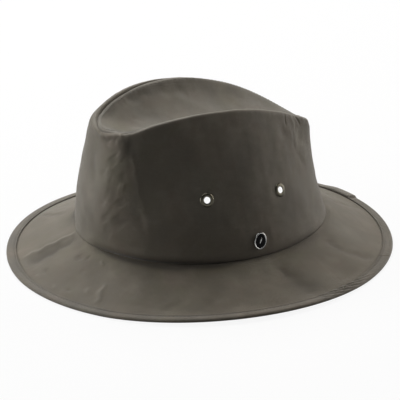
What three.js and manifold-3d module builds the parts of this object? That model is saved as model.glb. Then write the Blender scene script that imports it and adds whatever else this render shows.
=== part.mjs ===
// A soft waxed cotton hat with a dented crown, lying on its brim. Millimetres: +Z up, floor at Z = 0,
// front of the hat towards -Y, the wearer's left towards +X. Angles run from the front to the wearer's left.
import * as THREE from "three";
import { mergeVertices } from "three/addons/utils/BufferGeometryUtils.js";
import Module from "manifold-3d";

const wasm = await Module();
wasm.setup();

// Cloth and the gap between sewn pieces
const CLOTH = 2.0;
const BRIM_CLOTH = 1.4;
const BINDING_CLOTH = 1.0;
const GAP = 0.3;

// Joint of crown and brim: half sizes of the head oval, its height and the crown's lean to the wearer's left
const JOINT_HALF_LENGTH = 102.5;
const JOINT_HALF_WIDTH = 87;
const JOINT_HEIGHT = 26;
const CROWN_LEAN = 1.5;
const COLLAR_HEIGHT = 8;

// Outer edge of the brim, its three soft waves and the level strip that lies on the floor
const EDGE_HALF_LENGTH = 156.5;
const EDGE_HALF_WIDTH = 143;
const WAVE_HEIGHT = 1.35;
const WAVE_LIFT = 0.8;
const WAVE_ANGLE = -47.8;
const WAVE_COUNT = 3;
const LEVEL_STRIP = 5;
const BRIM_CURVE = 1.2;
const BINDING_WIDTH = 8.5;
const BINDING_CORNER = 1.2;

// Eyelets, two on each side of the crown
const EYELET_RADIUS = 5.4;
const EYELET_BACK_RADIUS = 4.8;
const EYELET_BORE_RADIUS = 2.7;
const EYELET_BARREL_RADIUS = 3.4;
const EYELET_FLANGE = 0.8;
const EYELET_BACK_GAP = 0.5;
const EYELET_SIDES = 16;
const DRILL_LENGTH = 12;

// Oval badge on the wearer's left with the rivet that holds it
const BADGE_HALF_WIDTH = 5.2;
const BADGE_HALF_HEIGHT = 6.6;
const BADGE_THICKNESS = 1.6;
const BADGE_RIM = 0.9;
const BADGE_FLOOR = 0.6;
const BADGE_SIDES = 18;
const BADGE_TURN = -31;
const RIVET_RADIUS = 1;
const RIVET_HEAD_RADIUS = 3;
const RIVET_HEAD = 0.8;
const RIVET_SIDES = 12;

// Number of columns round the crown and round the brim
const CROWN_COLUMNS = 80;
const BRIM_COLUMNS = 80;

// The slope from the fold to the spine: where its curve turns level, along and above the spine
const SLOPE_TURN = 0.42;
const SLOPE_RISE = 0.03;

// Points closer than this are one point
const MERGE_DISTANCE = 1e-3;

// Steps, in degrees and in shares, over which a surface's slope is measured
const ANGLE_STEP = 0.25;
const SHARE_STEP = 0.003;

// Dents fade out within this share of the wall's height, at its foot and at its fold
const DENT_FADE = 0.15;

// Sections of the crown from the front (0) to the back (180), mirrored on the other half.
// The ridge is the fold between wall and tip, the spine is the floor of the long dent between the ridges,
// both above the joint.
// belly: swelling of the wall near its foot and near its top; bend: size of the fold's curve;
// seam: how far inside the fold the tip is sewn to the wall; seamShift: how much farther on the wearer's left,
// and less on the right.
const SECTIONS = {
  columns: [
    "angle", "ridgeX", "ridgeY", "ridgeZ", "spineY", "spineZ", "bellyFoot", "bellyTop", "bend", "seam",
    "seamShift",
  ],
  rows: [
    [0, 0, -94.5, 96.5, -58, 84, 3.5, 3, 12, -1.9, 0],
    [15, 16, -93, 97.3, -55, 84, 4, 3, 12, 2.6, -0.5],
    [30, 26, -85, 99.2, -49, 83.5, 5, 3, 11, 3.6, -1],
    [45, 32, -68, 103.3, -40, 83, 5.5, 3, 8, 2.9, -0.4],
    [65, 38, -38, 106.7, -24, 81.5, 4, 2, 6, 2.2, 0.1],
    [90, 41, 4, 104, 2, 78, 3, 0, 6, 1.4, 1.1],
    [115, 37.5, 40, 94.3, 26, 75, 1, -2, 6, 0.4, 2.1],
    [135, 32, 61.5, 85.2, 40, 73, -1, -3.5, 6, -0.1, 2.3],
    [155, 25, 81, 74, 50, 70.5, -1, -3, 7, -0.2, 1.7],
    [168, 14, 90, 67.9, 54.5, 69, 0, -2, 8, -0.2, 0.7],
    [180, 0, 92.5, 65.9, 56, 68.5, 0, -2, 8, 0, 0],
  ],
};

// Pinches and puckers of the crown's wall: where they are, how far they reach and how far they stand out
const WALL_DENTS = {
  columns: ["angle", "height", "halfAngle", "halfHeight", "depth"],
  rows: [
    [46, 62, 15, 26, -3.5],
    [-46, 62, 15, 26, -3.5],
    [24, 84, 7, 16, -1.2],
    [118, 78, 4, 10, -1],
    [128, 70, 4, 9, 0.8],
    [138, 66, 4, 10, -1],
    [-128, 70, 4, 9, 0.8],
    [-138, 66, 4, 10, -1],
  ],
};

// Folds of the brim: "inward" is the distance from the outer edge
const BRIM_FOLDS = {
  columns: ["angle", "inward", "halfAngle", "halfInward", "depth"],
  rows: [
    [-22, 34, 4, 24, 1.2],
    [-15, 36, 4, 24, -1.2],
    [93, 24, 6, 26, -1],
    [30, 14, 6, 12, 0.6],
    [150, 30, 9, 24, -0.8],
    [-100, 28, 9, 26, -0.9],
  ],
};

// Where the eyelets and the badge sit: angle, and distance up the wall from the joint
const EYELETS = [
  { name: "eyelet_left_front", angle: 66, up: 49 },
  { name: "eyelet_left_back", angle: 104.5, up: 44 },
  { name: "eyelet_right_front", angle: -66, up: 49 },
  { name: "eyelet_right_back", angle: -104.5, up: 44 },
];
const BADGE = { angle: 87.4, up: 12 };

// Shares of the way up the wall, and from the seam to the spine, at which rows of points lie
const WALL_OUTER_SHARES = [0, 0.1, 0.24, 0.4, 0.56, 0.7, 0.8, 0.87, 0.92, 0.96, 1];
const WALL_INNER_SHARES = [1, 0.94, 0.86, 0.7, 0.5, 0.24, 0.1, 0];
const TIP_TOP_SHARES = [1, 0.75, 0.5, 0.3, 0.16, 0.07, 0];
const TIP_UNDER_SHARES = [0, 0.12, 0.3, 0.6, 1];

const COLOURS = {
  cloth: { color: 0x6f6b60, roughness: 0.72, metalness: 0 },
  binding: { color: 0x67635a, roughness: 0.75, metalness: 0 },
  eyelet: { color: 0x5d5844, roughness: 0.35, metalness: 0.9 },
  silver: { color: 0xb9b9b6, roughness: 0.3, metalness: 1 },
  enamel: { color: 0x15171a, roughness: 0.25, metalness: 0 },
};

function radians(degrees) {
  return THREE.MathUtils.degToRad(degrees);
}

// An angle brought between -180 and 180 degrees
function wrapped(degrees) {
  return THREE.MathUtils.euclideanModulo(degrees + 180, 360) - 180;
}

// Slope of a column at a row, from the parabola through that row and its two neighbours
function slopeAt(before, here, after) {
  const back = here[0] - before[0];
  const ahead = after[0] - here[0];
  const rise = back * back * after[1] + (ahead * ahead - back * back) * here[1] - ahead * ahead * before[1];
  return rise / (back * ahead * (back + ahead));
}

// Reads a column of the sections smoothly at any angle; an odd column changes sign on the other half
function section(name, angle, odd = false) {
  const column = SECTIONS.columns.indexOf(name);
  const sign = odd ? -1 : 1;
  const knots = SECTIONS.rows.map((row) => [row[0], row[column]]);
  const first = [-knots[1][0], sign * knots[1][1]];
  const beforeLast = knots[knots.length - 2];
  const last = [360 - beforeLast[0], sign * beforeLast[1]];
  const all = [first, ...knots, last];
  const turned = wrapped(angle);
  const at = Math.abs(turned);
  let k = 1;
  while (k < all.length - 3 && at > all[k + 1][0]) k += 1;
  const width = all[k + 1][0] - all[k][0];
  const s = (at - all[k][0]) / width;
  const startSlope = slopeAt(all[k - 1], all[k], all[k + 1]) * width;
  const endSlope = slopeAt(all[k], all[k + 1], all[k + 2]) * width;
  const start = (2 * s ** 3 - 3 * s ** 2 + 1) * all[k][1] + (s ** 3 - 2 * s ** 2 + s) * startSlope;
  const end = (3 * s ** 2 - 2 * s ** 3) * all[k + 1][1] + (s ** 3 - s ** 2) * endSlope;
  return (odd && turned < 0 ? -1 : 1) * (start + end);
}

// Sum of the soft dents of a table at an angle and a second distance
function dents(table, angle, distance) {
  return table.rows.reduce((sum, [dentAngle, place, halfAngle, halfReach, depth]) => {
    const across = wrapped(angle - dentAngle) / halfAngle;
    const along = (distance - place) / halfReach;
    return sum + depth * Math.exp(-across * across - along * along);
  }, 0);
}

function ovalPoint(halfWidth, halfLength, angle) {
  return new THREE.Vector3(halfWidth * Math.sin(radians(angle)), -halfLength * Math.cos(radians(angle)), 0);
}

// Level direction square to the head oval
function ovalOutward(angle) {
  return ovalPoint(1 / JOINT_HALF_WIDTH, 1 / JOINT_HALF_LENGTH, angle).normalize();
}

const sectionPaths = new Map();

// One section of the crown: straight up the wall, round the fold, then down the slope of the dent
function sectionPath(angle) {
  const key = wrapped(angle).toFixed(3);
  if (sectionPaths.has(key)) return sectionPaths.get(key);
  const foot = ovalPoint(JOINT_HALF_WIDTH, JOINT_HALF_LENGTH, angle);
  const ridgeX = section("ridgeX", angle, true);
  const fold = new THREE.Vector3(ridgeX, section("ridgeY", angle), section("ridgeZ", angle));
  const spine = new THREE.Vector3(0, section("spineY", angle), section("spineZ", angle));
  const slope = spine.clone().lerp(fold, SLOPE_TURN);
  slope.z = THREE.MathUtils.lerp(spine.z, fold.z, SLOPE_RISE);
  const bend = section("bend", angle);
  const wallEnd = fold.clone().addScaledVector(foot.clone().sub(fold).normalize(), bend);
  const slopeStart = fold.clone().addScaledVector(slope.clone().sub(fold).normalize(), bend);
  const path = new THREE.CurvePath();
  path.add(new THREE.LineCurve3(foot, wallEnd));
  path.add(new THREE.QuadraticBezierCurve3(wallEnd, fold, slopeStart));
  path.add(new THREE.QuadraticBezierCurve3(slopeStart, slope, spine));
  const [wall, round] = path.curves.map((curve) => curve.getLength());
  const seam = wall + round / 2 + section("seam", angle) + section("seamShift", angle, true);
  const result = { path, wall, seam, length: path.getLength() };
  sectionPaths.set(key, result);
  return result;
}

// A point of the crown's outer face at a distance along its section, with the bellies and dents of the wall
function crownPoint(angle, distance) {
  const { path, wall, length } = sectionPath(angle);
  const point = path.getPointAt(THREE.MathUtils.clamp(distance / length, 0, 1));
  const u = Math.min(distance / wall, 1);
  const foot = section("bellyFoot", angle) * 3 * u * (1 - u) ** 2;
  const top = section("bellyTop", angle) * 3 * u ** 2 * (1 - u);
  const fade = Math.min(u / DENT_FADE, (1 - u) / DENT_FADE, 1);
  const dent = dents(WALL_DENTS, angle, point.z) * fade;
  return point.addScaledVector(ovalOutward(angle), foot + top + dent);
}

function wallPoint(angle, share) {
  return crownPoint(angle, share * (sectionPath(angle).seam - GAP / 2));
}

function tipPoint(angle, share) {
  const { seam, length } = sectionPath(angle);
  return crownPoint(angle, THREE.MathUtils.lerp(seam + GAP / 2, length, share));
}

// Outward normal of a surface given as a function of an angle and a share
function normalOf(surface, angle, share) {
  const round = surface(angle + ANGLE_STEP, share).sub(surface(angle - ANGLE_STEP, share));
  const along = surface(angle, share + SHARE_STEP).sub(surface(angle, share - SHARE_STEP));
  return round.cross(along).normalize();
}

function offsetPoint(surface, angle, share, distance) {
  return surface(angle, share).addScaledVector(normalOf(surface, angle, share), distance);
}

// Inner side of the crown's cloth; both sides of the seam are cut along the same direction
function innerPoint(surface, angle, share, atSeam) {
  const seamSurface = (a, s) => crownPoint(a, s * sectionPath(a).seam);
  const normal = atSeam ? normalOf(seamSurface, angle, 1) : normalOf(surface, angle, share);
  return surface(angle, share).addScaledVector(normal, -CLOTH);
}

// The angles of the columns round the hat
function columnAngles(count) {
  return Array.from({ length: count }, (_, k) => (k * 360) / count);
}

// Joins sections of points round the hat into one closed surface that faces out
function loft(sections, closed) {
  const count = sections[0].length;
  const positions = sections.flat().flatMap((point) => point.toArray());
  const index = [];
  sections.forEach((_, k) => {
    const next = (k + 1) % sections.length;
    const rows = closed ? count : count - 1;
    for (let row = 0; row < rows; row += 1) {
      const above = (row + 1) % count;
      const corners = [k * count + row, next * count + row, next * count + above, k * count + above];
      index.push(corners[0], corners[1], corners[2], corners[0], corners[2], corners[3]);
    }
  });
  const geometry = new THREE.BufferGeometry();
  geometry.setAttribute("position", new THREE.Float32BufferAttribute(positions, 3));
  geometry.setIndex(index);
  return facingOut(withoutSlivers(mergeVertices(geometry, MERGE_DISTANCE)));
}

// Drops triangles whose corners fell together
function withoutSlivers(geometry) {
  const old = geometry.getIndex().array;
  const kept = [];
  for (let k = 0; k < old.length; k += 3) {
    const [a, b, c] = [old[k], old[k + 1], old[k + 2]];
    if (a !== b && b !== c && c !== a) kept.push(a, b, c);
  }
  geometry.setIndex(kept);
  return geometry;
}

function facingOut(geometry) {
  const position = geometry.getAttribute("position");
  const index = geometry.getIndex().array;
  const [a, b, c] = [new THREE.Vector3(), new THREE.Vector3(), new THREE.Vector3()];
  let volume = 0;
  for (let k = 0; k < index.length; k += 3) {
    a.fromBufferAttribute(position, index[k]);
    b.fromBufferAttribute(position, index[k + 1]);
    c.fromBufferAttribute(position, index[k + 2]);
    volume += a.dot(b.cross(c));
  }
  if (volume < 0) geometry.setIndex([...index].reverse());
  return geometry;
}

function toSolid(geometry) {
  const bare = geometry.clone();
  bare.deleteAttribute("normal");
  bare.deleteAttribute("uv");
  const merged = mergeVertices(bare, MERGE_DISTANCE);
  const vertProperties = new Float32Array(merged.getAttribute("position").array);
  const triVerts = new Uint32Array(merged.getIndex().array);
  return new wasm.Manifold(new wasm.Mesh({ numProp: 3, vertProperties, triVerts }));
}

function toGeometry(solid) {
  const { vertProperties, triVerts } = solid.getMesh();
  const geometry = new THREE.BufferGeometry();
  geometry.setAttribute("position", new THREE.Float32BufferAttribute(vertProperties, 3));
  geometry.setIndex([...triVerts]);
  return geometry;
}

function named(name, geometry, colour) {
  const mesh = new THREE.Mesh(geometry, new THREE.MeshStandardMaterial(COLOURS[colour]));
  mesh.name = name;
  return mesh;
}

// Place on the crown's wall: its origin on the outer face, +Z outwards and +Y up the wall
function wallFrame({ angle, up }) {
  const share = up / sectionPath(angle).seam;
  const origin = wallPoint(angle, share);
  const outward = normalOf(wallPoint, angle, share);
  const sideways = new THREE.Vector3(0, 0, 1).cross(outward).normalize();
  const upward = outward.clone().cross(sideways);
  return new THREE.Matrix4().makeBasis(sideways, upward, outward).setPosition(origin);
}

// A cutter along the outward direction of a place on the wall
function wallDrill(place, radius, sides) {
  const drill = new THREE.CylinderGeometry(radius, radius, DRILL_LENGTH, sides);
  drill.rotateX(Math.PI / 2);
  drill.applyMatrix4(wallFrame(place));
  return toSolid(drill);
}

function crownWall() {
  const sections = columnAngles(CROWN_COLUMNS).map((angle) => [
    ...WALL_OUTER_SHARES.map((share) => wallPoint(angle, share)),
    ...WALL_INNER_SHARES.map((share) => innerPoint(wallPoint, angle, share, share === 1)),
  ]);
  let solid = toSolid(loft(sections, true));
  EYELETS.forEach((place) => {
    solid = solid.subtract(wallDrill(place, EYELET_BARREL_RADIUS + GAP, EYELET_SIDES));
  });
  solid = solid.subtract(wallDrill(BADGE, RIVET_RADIUS + GAP, RIVET_SIDES));
  return named("crown_wall", toGeometry(solid), "cloth");
}

// Underside of the tip; on the spine, where both halves meet, the middle of their two undersides is taken
function tipUnder(angle, share) {
  const here = innerPoint(tipPoint, angle, share, share === 0);
  return share === 1 ? here.lerp(innerPoint(tipPoint, -angle, share, false), 0.5) : here;
}

function crownTip() {
  const sections = columnAngles(CROWN_COLUMNS).map((angle) => [
    ...TIP_TOP_SHARES.map((share) => tipPoint(angle, share)),
    ...TIP_UNDER_SHARES.map((share) => tipUnder(angle, share)),
  ]);
  return named("crown_tip", loft(sections, false), "cloth");
}

function eyelet(place) {
  const seat = GAP;
  const back = -CLOTH - EYELET_BACK_GAP;
  const profile = [
    [EYELET_BORE_RADIUS, seat + EYELET_FLANGE],
    [EYELET_BORE_RADIUS, back - EYELET_FLANGE],
    [EYELET_BACK_RADIUS, back - EYELET_FLANGE],
    [EYELET_BACK_RADIUS, back],
    [EYELET_BARREL_RADIUS, back],
    [EYELET_BARREL_RADIUS, seat],
    [EYELET_RADIUS, seat],
    [EYELET_RADIUS - EYELET_FLANGE / 2, seat + EYELET_FLANGE],
    [EYELET_BORE_RADIUS, seat + EYELET_FLANGE],
  ];
  const ring = new THREE.LatheGeometry(profile.map(([r, z]) => new THREE.Vector2(r, z)), EYELET_SIDES);
  ring.rotateX(Math.PI / 2);
  const mesh = named(place.name, facingOut(toGeometry(toSolid(ring))), "eyelet");
  mesh.applyMatrix4(wallFrame(place));
  return mesh;
}

function badgeOval(inset, from, to) {
  const shape = new THREE.Shape();
  shape.absellipse(0, 0, BADGE_HALF_WIDTH - inset, BADGE_HALF_HEIGHT - inset, 0, Math.PI * 2);
  const settings = { depth: to - from, bevelEnabled: false, curveSegments: BADGE_SIDES };
  return new THREE.ExtrudeGeometry(shape, settings).translate(0, 0, from);
}

function rivetPart(radius, from, to) {
  const pin = new THREE.CylinderGeometry(radius, radius, to - from, RIVET_SIDES);
  return pin.rotateX(Math.PI / 2).translate(0, 0, (from + to) / 2);
}

function badgeFrame() {
  const seat = GAP;
  const back = -CLOTH - GAP;
  const cup = toSolid(badgeOval(0, seat, seat + BADGE_THICKNESS));
  const pocket = toSolid(badgeOval(BADGE_RIM, seat + BADGE_FLOOR, seat + BADGE_THICKNESS + 1));
  const pin = toSolid(rivetPart(RIVET_RADIUS, back - RIVET_HEAD / 2, seat + BADGE_FLOOR / 2));
  const head = toSolid(rivetPart(RIVET_HEAD_RADIUS, back - RIVET_HEAD, back));
  const mesh = named("badge_frame", toGeometry(cup.subtract(pocket).add(pin).add(head)), "silver");
  mesh.applyMatrix4(badgePlace());
  return mesh;
}

function badgeEnamel() {
  const bottom = GAP + BADGE_FLOOR + GAP;
  const mesh = named("badge_enamel", badgeOval(BADGE_RIM + GAP, bottom, GAP + BADGE_THICKNESS), "enamel");
  mesh.applyMatrix4(badgePlace());
  return mesh;
}

// The badge leans a little on the wall
function badgePlace() {
  return wallFrame(BADGE).multiply(new THREE.Matrix4().makeRotationZ(radians(BADGE_TURN)));
}

const crown = new THREE.Group();
crown.position.z = JOINT_HEIGHT;
crown.rotation.y = radians(CROWN_LEAN);
crown.updateMatrix();

// A point of the wall's inner side where the brim's collar stands, in the hat's own frame
function collarPoint(angle, height, inset) {
  const share = height / sectionPath(angle).seam;
  return offsetPoint(wallPoint, angle, share, -inset).applyMatrix4(crown.matrix);
}

// Height of the brim's edge above the floor: three waves, cut off where the edge lies on the floor
function edgeRise(angle) {
  const wave = WAVE_HEIGHT * Math.cos(radians(WAVE_COUNT * (angle - WAVE_ANGLE)));
  return Math.max(0, wave + WAVE_LIFT);
}

// Middle of the brim's cloth; "inward" is the share of the way from the outer edge to the joint
function brimPoint(angle, inward) {
  const joint = ovalPoint(JOINT_HALF_WIDTH, JOINT_HALF_LENGTH, angle).applyMatrix4(crown.matrix);
  joint.z -= GAP + BRIM_CLOTH / 2;
  const edge = ovalPoint(EDGE_HALF_WIDTH, EDGE_HALF_LENGTH, angle);
  edge.z = edgeRise(angle) + BINDING_CLOTH + GAP + BRIM_CLOTH / 2;
  const width = Math.hypot(edge.x - joint.x, edge.y - joint.y);
  const distance = inward * width;
  const climb = (Math.max(0, distance - LEVEL_STRIP) / (width - LEVEL_STRIP)) ** BRIM_CURVE;
  const point = edge.clone().lerp(joint, inward);
  point.z = THREE.MathUtils.lerp(edge.z, joint.z, climb);
  point.z += dents(BRIM_FOLDS, angle, distance) * Math.sqrt(climb * Math.max(0, 1 - inward));
  return point;
}

// Point of the brim at a distance in from the edge and a height above the middle of its cloth
function brimLayer(angle, distance, height) {
  const width = brimPoint(angle, 0).distanceTo(brimPoint(angle, 1));
  return offsetPoint(brimPoint, angle, distance / width, height);
}

function brim() {
  const half = BRIM_CLOTH / 2;
  const edgeInset = BINDING_CLOTH + GAP;
  const shares = [1, 0.7, 0.44, 0.22];
  const outside = CLOTH + GAP;
  const inside = outside + BRIM_CLOTH;
  const sections = columnAngles(BRIM_COLUMNS).map((angle) => {
    const corner = collarPoint(angle, 0, outside);
    corner.z -= GAP;
    const underCorner = collarPoint(angle, 0, inside);
    underCorner.z -= GAP + BRIM_CLOTH;
    return [
      collarPoint(angle, COLLAR_HEIGHT, inside),
      collarPoint(angle, COLLAR_HEIGHT, outside),
      collarPoint(angle, COLLAR_HEIGHT / 3, outside),
      corner,
      ...shares.map((share) => offsetPoint(brimPoint, angle, share, half)),
      brimLayer(angle, LEVEL_STRIP, half),
      brimLayer(angle, edgeInset, half),
      brimLayer(angle, edgeInset, -half),
      brimLayer(angle, LEVEL_STRIP, -half),
      ...shares.toReversed().map((share) => offsetPoint(brimPoint, angle, share, -half)),
      underCorner,
    ];
  });
  return named("brim", loft(sections, true), "cloth");
}

// The folded strip round the brim's edge: distances in from the edge and heights above the cloth's middle
function brimBinding() {
  const inner = BRIM_CLOTH / 2 + GAP;
  const outer = inner + BINDING_CLOTH;
  const profile = [
    [BINDING_WIDTH, outer],
    [LEVEL_STRIP, outer],
    [BINDING_CORNER, outer],
    [0, outer - BINDING_CORNER],
    [0, BINDING_CORNER - outer],
    [BINDING_CORNER, -outer],
    [LEVEL_STRIP, -outer],
    [BINDING_WIDTH, -outer],
    [BINDING_WIDTH, -inner],
    [LEVEL_STRIP, -inner],
    [BINDING_CLOTH, -inner],
    [BINDING_CLOTH, inner],
    [LEVEL_STRIP, inner],
    [BINDING_WIDTH, inner],
  ];
  const sections = columnAngles(BRIM_COLUMNS).map((angle) =>
    profile.map(([distance, height]) => {
      const point = brimLayer(angle, distance, height);
      point.z = Math.max(0, point.z);
      return point;
    }),
  );
  return named("brim_binding", loft(sections, true), "binding");
}

crown.add(crownWall(), crownTip(), ...EYELETS.map(eyelet), badgeFrame(), badgeEnamel());

const hat = new THREE.Group();
hat.add(crown, brim(), brimBinding());

export default hat;
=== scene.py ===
"""Looks of a soft waxed cotton hat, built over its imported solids.

Shape functions work in millimetres and degrees: +Z up from the floor, the front of the hat towards -Y and
the wearer's left towards +X. Angles run from the front to the wearer's left. Finished meshes are in metres.
"""

import math

import bpy
import numpy as np
from mathutils import Matrix, Vector


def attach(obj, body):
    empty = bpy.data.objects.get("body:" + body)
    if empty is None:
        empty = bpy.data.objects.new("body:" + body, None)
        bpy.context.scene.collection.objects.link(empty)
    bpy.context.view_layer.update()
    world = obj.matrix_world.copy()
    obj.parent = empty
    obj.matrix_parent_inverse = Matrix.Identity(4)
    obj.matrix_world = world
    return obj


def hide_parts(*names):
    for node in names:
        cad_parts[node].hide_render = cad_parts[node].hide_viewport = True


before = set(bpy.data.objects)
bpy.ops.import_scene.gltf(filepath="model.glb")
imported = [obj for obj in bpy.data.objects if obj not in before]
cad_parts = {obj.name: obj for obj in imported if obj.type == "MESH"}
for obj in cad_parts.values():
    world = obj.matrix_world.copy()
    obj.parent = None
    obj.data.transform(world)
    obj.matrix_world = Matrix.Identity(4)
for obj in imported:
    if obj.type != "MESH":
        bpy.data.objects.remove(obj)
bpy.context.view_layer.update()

bl_info = {
    "name": "Waxed Cotton Hat",
    "version": (1, 0, 0),
    "blender": (4, 5, 0),
    "location": "3D View > Sidebar > Hat",
    "description": "Sews a waxed cotton hat with a dented crown, a bound brim, eyelets and an oval badge",
    "category": "Add Mesh",
}

MM = 0.001

# Cloth and the gap between sewn pieces
CLOTH = 2.0
BRIM_CLOTH = 1.4
BINDING_CLOTH = 1.0
GAP = 0.3

# Flattened binding: its top above the middle of the brim's cloth, and the share of the top's relief that is
# left round the bend of its outer edge
BINDING_TOP = 1.3
BEND_SHARES = (1.0, 0.95, 0.85, 0.7, 0.4)

# Outline of the binding: gap under its top, its rounded inner edge as distances back and shares of the way
# down, points along its top, its underside and its lining, and the bend's centre height and half widths
BINDING_SEAT = 0.1
BINDING_LIP = ((0.0, 1.0), (0.0, 0.4), (0.15, 0.1), (0.45, 0.0))
BINDING_TOP_PLACES = (7.5, 7.0, 6.7, 6.4, 5.9, 5.0, 4.1, 3.4, 2.9)
BINDING_UNDER_PLACES = (4.4, 5.5, 6.7)
BINDING_UNDER_LIP = 0.4
BINDING_LINING_PLACE = 5.0
BEND_CENTRE = -0.5
BEND_TOP_HALF_WIDTH = 2.2
BEND_UNDER_HALF_WIDTH = 4.5

# Joint of crown and brim
JOINT_HALF_LENGTH = 102.5
JOINT_HALF_WIDTH = 87.0
JOINT_HEIGHT = 26.0
CROWN_LEAN = 1.5
COLLAR_HEIGHT = 8.0
COLLAR_SHARES = (1.0, 0.6, 0.25)

# Outer edge of the brim
EDGE_HALF_LENGTH = 156.5
EDGE_HALF_WIDTH = 143.0
WAVE_HEIGHT = 1.35
WAVE_LIFT = 0.8
WAVE_ANGLE = -47.8
WAVE_COUNT = 3
LEVEL_STRIP = 5.0
BRIM_CURVE = 1.2
BINDING_WIDTH = 8.5

# Binding: where its ends overlap and by how much, where it is joined, and where its twist wrinkles it
OVERLAP_ANGLE = 180.0
OVERLAP_HEIGHT = 1.7
JOIN_ANGLE = 133.0
TWIST_ANGLE = 106.0
TWIST_HALF_ANGLE = 9.0

# The slope from the fold to the spine of the long dent
SLOPE_TURN = 0.42
SLOPE_RISE = 0.03
DENT_FADE = 0.15

# Steps over which a surface's slope is measured
ANGLE_STEP = 0.25
SHARE_STEP = 0.003

# Samples of a section's fold and of its slope
FOLD_SAMPLES = 61
SLOPE_SAMPLES = 121

# Grids of the pieces: columns round the hat and rows along a section
WALL_COLUMNS = 512
WALL_ROWS = 138
WALL_INNER_ROWS = 30
TIP_ROWS = 84
TIP_UNDER_ROWS = 20
BRIM_COLUMNS = 640
BRIM_ROWS = 84
BRIM_UNDER_ROWS = 44
BINDING_COLUMNS = 1080

# How closely rows crowd towards a section's ends, or the tip's towards its seam
WALL_CROWDING = 0.6
TIP_CROWDING = 1.5
BRIM_CROWDING = 0.35

# Samples of a line round the hat, and the step in degrees over which its direction is measured
LINE_SAMPLES = 1440
STITCH_STEP = 0.2

# Average length of one degree on the crown's wall and on the brim
WALL_DEGREE = 1.65
TIP_DEGREE = 1.2
BRIM_DEGREE = 2.2

# Sections of the crown, mirrored on the other half. The ridge is the fold between wall and tip, the spine is
# the floor of the dent, both above the joint. The seam lies inside the fold by "seam", and by "seam_shift"
# more on the wearer's left and less on the right.
SECTION_COLUMNS = (
    "angle", "ridge_x", "ridge_y", "ridge_z", "spine_y", "spine_z", "belly_foot", "belly_top", "bend", "seam",
    "seam_shift",
)
SECTIONS = np.array([
    [0, 0, -94.5, 96.5, -58, 84, 3.5, 3, 12, -1.9, 0],
    [15, 16, -93, 97.3, -55, 84, 4, 3, 12, 2.6, -0.5],
    [30, 26, -85, 99.2, -49, 83.5, 5, 3, 11, 3.6, -1],
    [45, 32, -68, 103.3, -40, 83, 5.5, 3, 8, 2.9, -0.4],
    [65, 38, -38, 106.7, -24, 81.5, 4, 2, 6, 2.2, 0.1],
    [90, 41, 4, 104, 2, 78, 3, 0, 6, 1.4, 1.1],
    [115, 37.5, 40, 94.3, 26, 75, 1, -2, 6, 0.4, 2.1],
    [135, 32, 61.5, 85.2, 40, 73, -1, -3.5, 6, -0.1, 2.3],
    [155, 25, 81, 74, 50, 70.5, -1, -3, 7, -0.2, 1.7],
    [168, 14, 90, 67.9, 54.5, 69, 0, -2, 8, -0.2, 0.7],
    [180, 0, 92.5, 65.9, 56, 68.5, 0, -2, 8, 0, 0],
], float)

# Pinches of the wall. Columns: angle, height, half angle, half height, depth
WALL_DENTS = (
    (46, 62, 15, 26, -3.5),
    (-46, 62, 15, 26, -3.5),
    (24, 84, 7, 16, -1.2),
    (118, 78, 4, 10, -1),
    (128, 70, 4, 9, 0.8),
    (138, 66, 4, 10, -1),
    (-128, 70, 4, 9, 0.8),
    (-138, 66, 4, 10, -1),
)

# Folds of the brim. Columns: angle, distance in from the edge, half angle, half distance, depth
BRIM_FOLDS = (
    (-22, 34, 4, 24, 1.2),
    (-15, 36, 4, 24, -1.2),
    (93, 24, 6, 26, -1),
    (30, 14, 6, 12, 0.6),
    (150, 30, 9, 24, -0.8),
    (-100, 28, 9, 26, -0.9),
)

# Creases of the wall. Columns: angle and distance up the wall at both ends, half width, depth
WALL_CREASES = (
    (124.6, 95, 122.5, 85, 1.2, -0.6),
    (138.3, 88, 140.6, 76, 1.5, -0.7),
    (141, 94, 140, 86, 3.6, -1.3),
    (131.5, 92, 131.5, 78, 3.0, 0.4),
    (137, 80, 139, 50, 7.5, 0.8),
    (128.5, 79, 127, 64, 3.0, -0.4),
    (127, 62, 136, 46, 3.5, -0.4),
    (-131, 84, -130, 68, 1.8, -0.8),
    (-142, 76, -145, 62, 2.0, -0.7),
    (4, 86, 18, 90.5, 2.8, -0.9),
    (15, 91, 27, 91, 3.2, -0.5),
    (28, 95, 31, 78, 7.5, -1.1),
    (20.8, 98, 21.4, 93, 1.8, 0.4),
    (27.4, 100, 28, 96, 1.8, 0.4),
    (30, 85, 34, 50, 2.4, 0.35),
    (34, 50, 38, 22, 3.4, 0.35),
    (14, 77, 17, 70, 6.0, -0.55),
    (23, 67, 25, 59, 5.0, -0.55),
    (13, 53, 20, 48, 6.0, -0.4),
    (21, 46, 23, 40, 5.5, -0.5),
    (11, 30, 13, 25, 5.5, -0.45),
    (19, 33, 23, 24, 7.0, -0.65),
    (11, 19, 16, 15, 6.0, -0.4),
    (20, 81, 23, 76, 5.0, 0.55),
    (11, 65, 15, 60, 5.5, 0.5),
    (21, 57, 25, 54, 4.5, 0.5),
    (12, 42, 16, 37, 6.0, 0.5),
    (146, 28, 148, 60, 16.0, 1.1),
    (145, 83, 159, 72, 4.5, 1.4),
    (-56, 104, -94, 105, 6.0, 0.6),
    (-6, 78, 2, 50, 5.0, -0.3),
    (58, 34, 76, 30, 6.0, -0.3),
    (98, 62, 110, 50, 6.0, -0.3),
    (-30, 90, -37, 76, 2.4, -0.7),
    (-70, 60, -92, 48, 5.0, -0.5),
    (168, 52, 172, 34, 4.0, -0.5),
    (-166, 56, -170, 40, 4.0, -0.5),
)

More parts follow.
